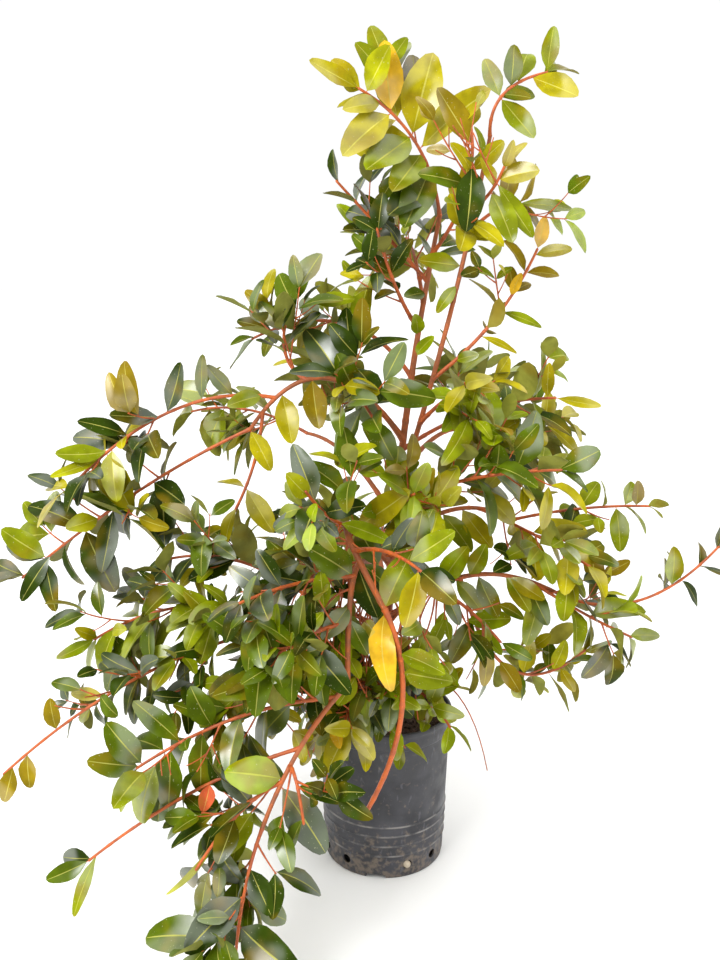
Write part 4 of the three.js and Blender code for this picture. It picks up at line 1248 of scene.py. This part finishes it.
def floor_finish(colours):
    """A pale floor, all but even."""
    material, tree, shader, place = new_finish("studio_floor", FLOOR_ROUGHNESS, DULL_SPECULAR)
    paint = toned(tree, noise(tree, place, FLOOR_NOISE), srgb(colours.floor), FLOOR_TONES)
    tree.links.new(paint, shader.inputs["Base Color"])
    return material


def length_prop(name, default, description):
    """A property that holds a length in metres."""
    return bpy.props.FloatProperty(
        name=name, description=description, default=default, min=0.0, unit="LENGTH", precision=4
    )


def number_prop(name, default, low, high, description):
    """A property that holds a plain number."""
    return bpy.props.FloatProperty(name=name, description=description, default=default, min=low, max=high)


def colour_prop(name, red, green, blue, description):
    """A property that holds a display colour, given as 0 to 255."""
    return bpy.props.FloatVectorProperty(
        name=name, description=description, subtype="COLOR_GAMMA", size=3, min=0.0, max=1.0,
        default=(red / 255, green / 255, blue / 255),
    )


class EugeniaGrowth(bpy.types.PropertyGroup):
    """Sizes of the shoots and their leaves."""

    leaf_length: length_prop("Leaf length", 0.093, "Length of a full leaf with its stalk")
    leaf_width: number_prop("Leaf width", 0.48, 0.1, 1.0, "Width of a leaf as a share of its length")
    internode: length_prop("Stem spacing", 0.042, "Distance between pairs of leaves on a stem")
    twig_internode: length_prop("Twig spacing", 0.031, "Distance between pairs of leaves on a twig")
    twig_length: length_prop("Twig length", 0.126, "Length of a side twig near the foot of its stem")
    fine_twigs: number_prop("Fine twigs", 0.78, 0.0, 4.0, "Finer side twigs for each main one")


class EugeniaColours(bpy.types.PropertyGroup):
    """Colours of leaves, bark, pot, soil and floor."""

    deep: colour_prop("Deep green", 42, 58, 2, "Oldest leaves")
    dark: colour_prop("Dark green", 76, 93, 4, "Old leaves")
    mid: colour_prop("Mid green", 118, 128, 8, "Full-grown leaves")
    fresh: colour_prop("Fresh green", 132, 148, 6, "Young leaves")
    olive: colour_prop("Olive", 152, 142, 8, "Leaves about to turn")
    lime: colour_prop("Lime", 152, 153, 10, "Yellow-green leaves")
    golden: colour_prop("Golden", 208, 164, 36, "Yellow leaves")
    bronze: colour_prop("Bronze", 132, 113, 14, "Brown-gold leaves")
    rust: colour_prop("Rust", 196, 88, 50, "A withered leaf")
    blush: colour_prop("Blush", 134, 108, 14, "Where a leaf begins to turn")
    underside: colour_prop("Underside", 162, 158, 82, "Under face of every leaf")
    rib: colour_prop("Midrib", 196, 190, 96, "Middle vein on top of a leaf")
    stem: colour_prop("Stem", 186, 88, 26, "Young bark of stems and twigs")
    stem_shade: colour_prop("Stem shade", 154, 74, 36, "Darker blotches on young bark")
    trunk: colour_prop("Trunk", 170, 88, 38, "Bark of trunk and boughs")
    trunk_shade: colour_prop("Trunk shade", 138, 78, 44, "Darker blotches on old bark")
    pot: colour_prop("Pot", 50, 50, 55, "Nursery plastic")
    dirt: colour_prop("Dried earth", 124, 110, 96, "Earth on the pot and grit in the soil")
    # Pale colour of the hoop bands: partly scuffed plastic, partly a painted highlight
    scuff: colour_prop("Scuff", 138, 134, 130, "Worn plastic on the hoops")
    soil: colour_prop("Soil", 60, 45, 35, "Potting mix")
    stone: colour_prop("Stone", 196, 182, 160, "Pale stone in a drain hole")
    floor: colour_prop("Floor", 246, 246, 245, "Studio floor")


class EugeniaPot(bpy.types.PropertyGroup):
    """Sizes of the pot and its soil."""

    rim_radius: length_prop("Rim radius", POT_HIGH.x, "Outside of the lip")
    shoulder_radius: length_prop("Shoulder radius", 0.121, "Wall under the rim band")
    base_radius: length_prop("Base radius", 0.111, "Wall at the foot")
    height: length_prop("Height", POT_HIGH.z, "Foot to lip")
    rim_band: length_prop("Rim band", 0.034, "Height of the band round the rim")
    wall: length_prop("Wall", 0.003, "Thickness of the wall")
    soil_level: length_prop("Soil level", SOIL_HIGH.z, "Height of the soil at its middle")


class EugeniaStage(bpy.types.PropertyGroup):
    """Floor, light and camera."""

    camera: bpy.props.FloatVectorProperty(
        name="Camera", description="Where the camera stands", subtype="TRANSLATION", size=3, unit="LENGTH",
        default=SEEN_FROM,
    )
    pitch: bpy.props.FloatProperty(
        name="Pitch", description="How far the camera looks down", subtype="ANGLE", unit="ROTATION",
        default=math.radians(12.8),
    )
    lens: bpy.props.FloatProperty(
        name="Lens", description="Focal length in millimetres", default=37.5, min=1.0
    )
    floor_radius: length_prop("Floor radius", 30.0, "Size of the studio floor")


# The pot in metres. Its foot and rim are given as steps off a radius and a height
HOOP_HEIGHTS = np.array([46, 66, 86, 105]) * MM
HOOP_DEPTH = 1.8 * MM
HOOP_WIDTH = 2.6 * MM
HOOP_ROWS = 9
POT_SIDES = 160
WALL_ENDS = (6 * MM, 2 * MM)
WALL_ROWS = 36
INSIDE_ROWS = 14
INSIDE_FOOT = 8 * MM
FOOT_STEPS = np.array([[-14, 0], [-5, 0], [-2.2, 0.6], [-0.6, 2.4]]) * MM
BAND_INSET = 1.5 * MM
LIP_HEIGHT = 9 * MM
SHOULDER_STEPS = np.array([[0, -0.6]]) * MM
BAND_FOOT_STEPS = np.array([[-0.8, 1.2], [0, 3]]) * MM
BAND_TOP_STEPS = np.array([[0, -6], [0, -0.8]]) * MM
LIP_FOOT_STEPS = np.array([[-0.4, 0.8], [0, 2.2]]) * MM
LIP_TOP_STEPS = np.array([[0, -2.4], [-0.7, -0.7], [-2.2, 0], [-4, 0], [-5, -1]]) * MM
LIP_INSIDE_STEPS = np.array([[-5, 3]]) * MM
POT_FLOOR = 5 * MM
FLOOR_STEPS = np.array([[-6, 0], [-20, 0]]) * MM

# Mould seams: where they stand round the pot, the heights they rise from and end at, how far they fade in
# and out, their width and depth, and the radius from which the pot has them
SEAMS = (-1.66, -1.08, 0.9, 2.4)
SEAM_HEIGHTS = (0.112, 0.225)
SEAM_FADES = (0.01, 0.02)
SEAM_RADIUS = 0.117
SEAM_WIDTH = 0.0022
SEAM_DEPTH = 0.7 * MM
SEAM_FROM_RADIUS = 0.112

# Drain openings: how many, the angle of the first, the round holes and the notches, how far the cuts reach
# in and out of the foot, and the stone that shows in the second
DRAINS = 12
FIRST_DRAIN = math.radians(-99)
DRAIN_SIDES = 32
HOLE_RADIUS = 8.5 * MM
HOLE_HEIGHT = 26 * MM
HOLE_POWER = 2
NOTCH = (18 * MM, 9 * MM)
NOTCH_POWER = 5
NOTCH_EVERY = 3
CUT_REACH = (-13 * MM, 12 * MM)
STONE_INSET = 2 * MM
STONE_RADIUS = 7.4 * MM
STONE_SEED = 5

# Pebbles and crumbs: rings and sides of each, the angle of its first ring, and its dents
PEBBLE_ROWS = 4
PEBBLE_SIDES = 7
PEBBLE_POLE = 0.45
DENT = 0.35
DENT_SCALE = 1.6
DENT_STRAY = 900

# Soil: its gap to the wall, its depth, its mesh, its lumps as depth, scale and seed, the dip to the wall
# from a radius on, how far its top lies under its level, and the crumbs on it
SOIL_GAP = 1 * MM
SOIL_DEPTH = 0.09
SOIL_SIDES = 96
SOIL_ROWS = 34
SOIL_MIDDLE = 6 * MM
SOIL_LUMPS = ((2.6 * MM, 130, 3), (1.4 * MM, 420, 4))
SOIL_DIP = 7 * MM
DIP_FROM = 0.06
DIP_OVER = 0.058
SOIL_SINK = 1.5 * MM
CRUMBS = 420
CRUMB_SEED = 8
CRUMB_SPREAD = 0.96
CRUMB_LEAST = 0.02
CRUMB_RADII = (1.2, 3.8)
CRUMB_LIFT = 0.6 * MM
CRUMB_DENT_SEED = 9
CRUMB_SQUASH = 0.6


def turned_rings(profile, sides, push=None):
    """A profile of radius and height carried round the upright axis, with an optional push outwards by angle
    and height."""
    turn = full_turn(sides)[None, :]
    radius, height = profile[:, :1], profile[:, 1:]
    reach = radius + (0 if push is None else push(turn, height, radius))
    return np.stack([reach * np.cos(turn), reach * np.sin(turn), height + 0 * turn], axis=-1)[None]


def pot_profile(pot):
    """The pot's section from the middle of its underside up the outside, over the rim and down to its floor.
    The wall leans straight, and each hoop is a raised cosine on it."""
    shoulder = pot.height - pot.rim_band
    wall_radius = lambda z: lerp(pot.base_radius, pot.shoulder_radius, z / shoulder)
    spread = np.linspace(-1, 1, HOOP_ROWS) * HOOP_WIDTH
    plain = np.linspace(WALL_ENDS[0], shoulder - WALL_ENDS[1], WALL_ROWS)
    rows = np.sort(np.concatenate([plain, (HOOP_HEIGHTS[:, None] + spread).ravel()]))
    off = np.clip(np.abs(rows[:, None] - HOOP_HEIGHTS) / HOOP_WIDTH, 0, 1)
    hoops = (HOOP_DEPTH * (1 + np.cos(math.pi * off)) / 2).sum(axis=1)
    outside = np.column_stack([wall_radius(rows) + hoops, rows])
    band_radius = pot.rim_radius - BAND_INSET
    lip = pot.height - LIP_HEIGHT
    inner_rows = np.linspace(shoulder, INSIDE_FOOT, INSIDE_ROWS)
    return np.concatenate([
        (pot.base_radius, 0) + FOOT_STEPS,
        outside,
        (pot.shoulder_radius, shoulder) + SHOULDER_STEPS,
        (band_radius, shoulder) + BAND_FOOT_STEPS,
        (band_radius, lip) + BAND_TOP_STEPS,
        (pot.rim_radius, lip) + LIP_FOOT_STEPS,
        (pot.rim_radius, pot.height) + LIP_TOP_STEPS,
        (pot.rim_radius, shoulder) + LIP_INSIDE_STEPS,
        np.column_stack([wall_radius(inner_rows) - pot.wall, inner_rows]),
        (pot.base_radius, POT_FLOOR) + FLOOR_STEPS,
    ])


def seam_push(turn, height, radius):
    """Faint mould seams: narrow upright ridges on the wall between the hoops and the rim band."""
    fade_in = np.clip((height - SEAM_HEIGHTS[0]) / SEAM_FADES[0], 0, 1)
    fade_out = np.clip((SEAM_HEIGHTS[1] - height) / SEAM_FADES[1], 0, 1)
    ridge = 0
    for seam in SEAMS:
        off = (turn - seam + math.pi) % math.tau - math.pi
        ridge = ridge + np.exp(-((off * SEAM_RADIUS / SEAM_WIDTH) ** 2))
    return SEAM_DEPTH * fade_in * fade_out * ridge * (radius > SEAM_FROM_RADIUS)


def drain_angle(number):
    """How far round the foot a drain opening is."""
    return FIRST_DRAIN + number * math.tau / DRAINS


def drain_cutters(pot):
    """Tubes that cut the drain openings: a flat notch and two round holes, in turn round the foot. Each
    section is a superellipse, |x/a|^n + |z/b|^n = 1, with n of 2 for a hole and 5 for a notch."""
    shapes = []
    turn = full_turn(DRAIN_SIDES)
    for i in range(DRAINS):
        (wide, tall), power, level = (HOLE_RADIUS, HOLE_RADIUS), HOLE_POWER, HOLE_HEIGHT
        if i % NOTCH_EVERY == 0:
            (wide, tall), power, level = NOTCH, NOTCH_POWER, 0.0
        scale = (np.abs(np.cos(turn)) ** power + np.abs(np.sin(turn)) ** power) ** (-1 / power)
        out = level_way(drain_angle(i))
        side = np.cross(UP, out)
        ring = side * (wide * scale * np.cos(turn))[:, None] + UP * (tall * scale * np.sin(turn))[:, None]
        ends = (pot.base_radius + np.array(CUT_REACH))[:, None] * out + UP * level
        shapes.append(ring_shape(ends[None, :, None] + ring[None, None], ends[None, 0], ends[None, 1]))
    return shapes


def cut(piece, cutter):
    """Cuts a piece by another, which is then removed."""
    modifier = piece.modifiers.new("drains", "BOOLEAN")
    modifier.operation, modifier.solver, modifier.object = "DIFFERENCE", "MANIFOLD", cutter
    graph = bpy.context.evaluated_depsgraph_get()
    old, new = piece.data, bpy.data.meshes.new_from_object(piece.evaluated_get(graph))
    piece.modifiers.clear()
    piece.data = new
    new.name = old.name
    bpy.data.objects.remove(cutter)
    new.shade_smooth()
    new.set_sharp_from_angle(angle=math.radians(SHARP["pot"]))


def pebble_shape(centres, radii, seed, squash):
    """Small stones: balls in rings from pole to pole, squashed upright and dented by soft noise."""
    rows = np.linspace(PEBBLE_POLE, math.pi - PEBBLE_POLE, PEBBLE_ROWS)[:, None]
    turn = full_turn(PEBBLE_SIDES)[None, :]
    ball = [np.sin(rows) * np.cos(turn), np.sin(rows) * np.sin(turn), -np.cos(rows) + 0 * turn]
    ball = np.stack(ball, axis=-1)
    poles = np.array([[0, 0, -1.0], [0, 0, 1.0]])
    middle = centres[:, None, None]
    place = lambda p: middle + radii[:, None, None, None] * p * (1, 1, squash)
    noise_at = lambda p: smooth_noise(p[None] * DENT_SCALE + middle * DENT_STRAY, 1.0, seed)
    dent = lambda p: p * (1 + DENT * noise_at(p))[..., None]
    ends = place(dent(poles[None]))[:, 0]
    return ring_shape(place(dent(ball)), ends[:, 0], ends[:, 1])


class EUGENIA_OT_pot(bpy.types.Operator):
    """Makes the nursery pot with its hoops, rim, seams and drain openings, and the stone seen in one"""

    bl_idname = "eugenia.pot"
    bl_label = "Pot"

    def execute(self, context):
        pot, colours = context.scene.eugenia_pot, context.scene.eugenia_colours
        rings = turned_rings(pot_profile(pot), POT_SIDES, seam_push)
        shell = ring_shape(rings, np.zeros((1, 3)), UP[None] * POT_FLOOR)
        piece = add_piece("pot_shell", [shell], [pot_finish(colours)], ["pot"], SHARP["pot"])
        cutters = make_mesh("drain_cutters", drain_cutters(pot), [], SHARP["pot"])
        cut(piece, add_object("drain_cutters", cutters))
        seat = (pot.base_radius - STONE_INSET) * level_way(drain_angle(1)) + UP * HOLE_HEIGHT
        stone = pebble_shape(seat[None], np.array([STONE_RADIUS]), STONE_SEED, 1.0)
        add_piece("drain_stone", [stone], [stone_finish(colours)], ["soil"], SHARP["stone"])
        return {"FINISHED"}


class EUGENIA_OT_soil(bpy.types.Operator):
    """Makes the soil in the pot: a lumpy top that dips to the wall, with loose crumbs on it"""

    bl_idname = "eugenia.soil"
    bl_label = "Soil"

    def execute(self, context):
        pot, colours = context.scene.eugenia_pot, context.scene.eugenia_colours
        shoulder = pot.height - pot.rim_band
        edge = pot.shoulder_radius - pot.wall - SOIL_GAP
        top = pot.soil_level - SOIL_SINK
        deep = pot.soil_level - SOIL_DEPTH

        def height(points):
            lumps = sum(depth * smooth_noise(points, scale, seed) for depth, scale, seed in SOIL_LUMPS)
            off = np.hypot(points[..., 0], points[..., 1])
            return top - SOIL_DIP * np.clip((off - DIP_FROM) / DIP_OVER, 0, 1) + lumps

        radii = np.linspace(edge, SOIL_MIDDLE, SOIL_ROWS)
        low_edge = lerp(pot.base_radius, pot.shoulder_radius, deep / shoulder) - pot.wall - SOIL_GAP
        under = [[low_edge / 2, deep], [low_edge, deep]]
        profile = np.concatenate([under, np.column_stack([radii, 0 * radii])])
        rings = turned_rings(profile, SOIL_SIDES)
        rings[0, len(under):, :, 2] = height(rings[0, len(under):])
        rng = np.random.default_rng(CRUMB_SEED)
        reach = edge * CRUMB_SPREAD * np.sqrt(rng.uniform(CRUMB_LEAST, 1, CRUMBS))
        turn = rng.uniform(0, math.tau, CRUMBS)
        crumbs = np.column_stack([reach * np.cos(turn), reach * np.sin(turn), 0 * turn])
        crumbs[:, 2] = height(crumbs) + CRUMB_LIFT
        sizes = rng.uniform(*CRUMB_RADII, CRUMBS) * MM
        shapes = [
            ring_shape(rings, UP[None] * deep, UP[None] * top),
            pebble_shape(crumbs, sizes, CRUMB_DENT_SEED, CRUMB_SQUASH),
        ]
        add_piece("potting_soil", shapes, [soil_finish(colours)], ["soil"], SHARP["soil"])
        return {"FINISHED"}


class EUGENIA_OT_limbs(bpy.types.Operator):
    """Makes trunk and boughs as bark with ridges, rings and knots"""

    bl_idname = "eugenia.limbs"
    bl_label = "Trunk and boughs"

    def execute(self, context):
        colours = context.scene.eugenia_colours
        shade = srgb(colours.trunk_shade)
        bark = bark_finish("old_bark", srgb(colours.trunk), shade, OLD_BARK_ROUGHNESS)
        for piece, names, mesh, swell in (
            ("trunk_bark", ["trunk"], TRUNK_MESH, trunk_swell),
            ("bough_bark", list(BOUGHS), BOUGH_MESH, limb_swell),
        ):
            woods = [limbs()[name] for name in names]
            shape = tube_shape(woods, *mesh, swell, bark_relief(woods, *mesh))
            add_piece(piece, [shape], [bark], names, SHARP["bark"])
        return {"FINISHED"}


def growth_sizes(context):
    """The growth properties as plain numbers."""
    growth = context.scene.eugenia_growth
    return Sizes(*(getattr(growth, name) for name in Sizes._fields)), growth.leaf_width


class EUGENIA_OT_stems(bpy.types.Operator):
    """Makes the shoots' stems and twigs, joined, with rings where leaves sit"""

    bl_idname = "eugenia.stems"
    bl_label = "Stems and twigs"

    def execute(self, context):
        colours = context.scene.eugenia_colours
        stems, twigs, _ = grow(*growth_sizes(context))
        shade = srgb(colours.stem_shade)
        bark = bark_finish("young_bark", srgb(colours.stem), shade, YOUNG_BARK_ROUGHNESS)
        shapes = [tube_shape(stems, *STEM_MESH, stem_swell), tube_shape(twigs, *TWIG_MESH, stem_swell)]
        names = [shoot.name for shoot in shoots()]
        add_piece("stems_and_twigs", shapes, [bark], names, SHARP["bark"])
        return {"FINISHED"}


class EUGENIA_OT_leaves(bpy.types.Operator):
    """Makes the leaves, joined by tint, each with its blade, midrib, underside and stalk"""

    bl_idname = "eugenia.leaves"
    bl_label = "Leaves"

    def execute(self, context):
        colours = context.scene.eugenia_colours
        sizes, width = growth_sizes(context)
        leaves = grow(sizes, width)[2]
        names = [shoot.name for shoot in shoots()]
        shade = srgb(colours.stem_shade)
        stalk = bark_finish("leaf_stalk", srgb(colours.stem), shade, YOUNG_BARK_ROUGHNESS)
        blush = srgb(colours.blush)
        for tint in TINTS:
            colour = srgb(getattr(colours, tint))
            skin = GLOSSY_SKIN if tint in GLOSSY_TINTS else BLADE_SKIN
            blade = leaf_finish(f"leaf_{tint}", colour, blush, skin)
            rib_colour = mixed(srgb(colours.rib), colour, OWN_TINT)
            rib = leaf_finish(f"midrib_{tint}", rib_colour, rib_colour, RIB_SKIN)
            under_colour = mixed(srgb(colours.underside), colour, OWN_TINT)
            under = leaf_finish(f"underside_{tint}", under_colour, blush, UNDER_SKIN)
            shape = leaf_shape([leaf for leaf in leaves if leaf.tint == tint], width)
            finishes = [blade, rib, under, stalk]
            add_piece(f"leaves_{tint}", [shape], finishes, names, SHARP["leaf"])
        return {"FINISHED"}


# The lights with their place, size and power, where they aim, the room's light and the heights it changes
# between, the floor's mesh, and the camera
STAGE_LIGHTS = (
    ("key_light", (-1.8, -2.4, 3.0), 1.6, 115.0),
    ("side_light", (2.4, -1.2, 2.2), 1.6, 16.0),
)
LIGHTS_AIM = np.array([0, 0, 0.7])
LIGHT_OVERHEAD = 1.6
LIGHT_WALLS = 1.02
OVERHEAD_BAND = (0.25, 0.8)
STUDIO_FLOOR_SIDES = 64
STUDIO_FLOOR_DEPTH = 0.02
SENSOR_WIDTH = 36.0
CLIP = (0.05, 200.0)


def studio_world():
    """A white room that is brightest overhead."""
    world = bpy.data.worlds.new("studio_light")
    world.use_nodes = True
    tree = world.node_tree
    way = add_node(tree, "ShaderNodeTexCoord").outputs["Generated"]
    parts = add_node(tree, "ShaderNodeSeparateXYZ", {0: way}).outputs
    grey = lambda level: (level, level, level, 1.0)
    room = blend(tree, band(tree, parts["Z"], *OVERHEAD_BAND), grey(LIGHT_WALLS), grey(LIGHT_OVERHEAD))
    tree.links.new(room, tree.nodes["Background"].inputs["Color"])
    return world


class EUGENIA_OT_stage(bpy.types.Operator):
    """Makes the pale floor, soft light and the camera"""

    bl_idname = "eugenia.stage"
    bl_label = "Stage"

    def execute(self, context):
        scene, stage = context.scene, context.scene.eugenia_stage
        turn = full_turn(STUDIO_FLOOR_SIDES)
        disc = np.stack([np.cos(turn), np.sin(turn), 0 * turn], axis=-1) * stage.floor_radius
        under = -UP * STUDIO_FLOOR_DEPTH
        shape = ring_shape(np.stack([disc + under, disc, disc / 2])[None], under[None], np.zeros((1, 3)))
        finish = floor_finish(scene.eugenia_colours)
        floor = add_object("studio_floor", make_mesh("studio_floor", [shape], [finish], SHARP["floor"]))
        scene.world = studio_world()
        for name, place, size, power in STAGE_LIGHTS:
            light = bpy.data.lights.new(name, "AREA")
            light.size, light.energy = size, power
            lamp = add_object(name, light)
            lamp.location = place
            aim = LIGHTS_AIM - place
            tilt = math.atan2(math.hypot(aim[0], aim[1]), -aim[2])
            lamp.rotation_euler = (tilt, 0, math.atan2(aim[1], aim[0]) - math.pi / 2)
        lens = bpy.data.cameras.new("photo_view")
        lens.lens, lens.sensor_width = stage.lens, SENSOR_WIDTH
        lens.clip_start, lens.clip_end = CLIP
        camera = add_object("photo_view", lens)
        camera.location = stage.camera
        camera.rotation_euler = (math.pi / 2 - stage.pitch, 0, 0)
        scene.camera = camera
        scene.view_settings.view_transform = "Standard"
        return {"FINISHED"}


class EUGENIA_PT_sidebar(bpy.types.Panel):
    """Lists the plant's sizes and colours and the operators that make it"""

    bl_idname = "EUGENIA_PT_sidebar"
    bl_label = "Potted Eugenia"
    bl_space_type = "VIEW_3D"
    bl_region_type = "UI"
    bl_category = "Eugenia"

    def draw(self, context):
        for operator in OPERATORS:
            self.layout.operator(operator.bl_idname)
        for key in SETTINGS:
            group = getattr(context.scene, key)
            box = self.layout.box()
            for name in group.__annotations__:
                box.prop(group, name)


OPERATORS = (
    EUGENIA_OT_pot, EUGENIA_OT_soil, EUGENIA_OT_limbs, EUGENIA_OT_stems, EUGENIA_OT_leaves, EUGENIA_OT_stage
)
SETTINGS = {
    "eugenia_growth": EugeniaGrowth,
    "eugenia_colours": EugeniaColours,
    "eugenia_pot": EugeniaPot,
    "eugenia_stage": EugeniaStage,
}


def register():
    """Registers the property groups, operators and panel."""
    for key, group in SETTINGS.items():
        bpy.utils.register_class(group)
        setattr(bpy.types.Scene, key, bpy.props.PointerProperty(type=group))
    for kind in (*OPERATORS, EUGENIA_PT_sidebar):
        bpy.utils.register_class(kind)


def unregister():
    """Takes the classes out again."""
    for kind in reversed((*OPERATORS, EUGENIA_PT_sidebar)):
        bpy.utils.unregister_class(kind)
    for key, group in reversed(SETTINGS.items()):
        delattr(bpy.types.Scene, key)
        bpy.utils.unregister_class(group)


def main():
    """Makes every piece in order."""
    register()
    bpy.ops.eugenia.pot()
    bpy.ops.eugenia.soil()
    bpy.ops.eugenia.limbs()
    bpy.ops.eugenia.stems()
    bpy.ops.eugenia.leaves()
    bpy.ops.eugenia.stage()


if __name__ == "__main__":
    main()
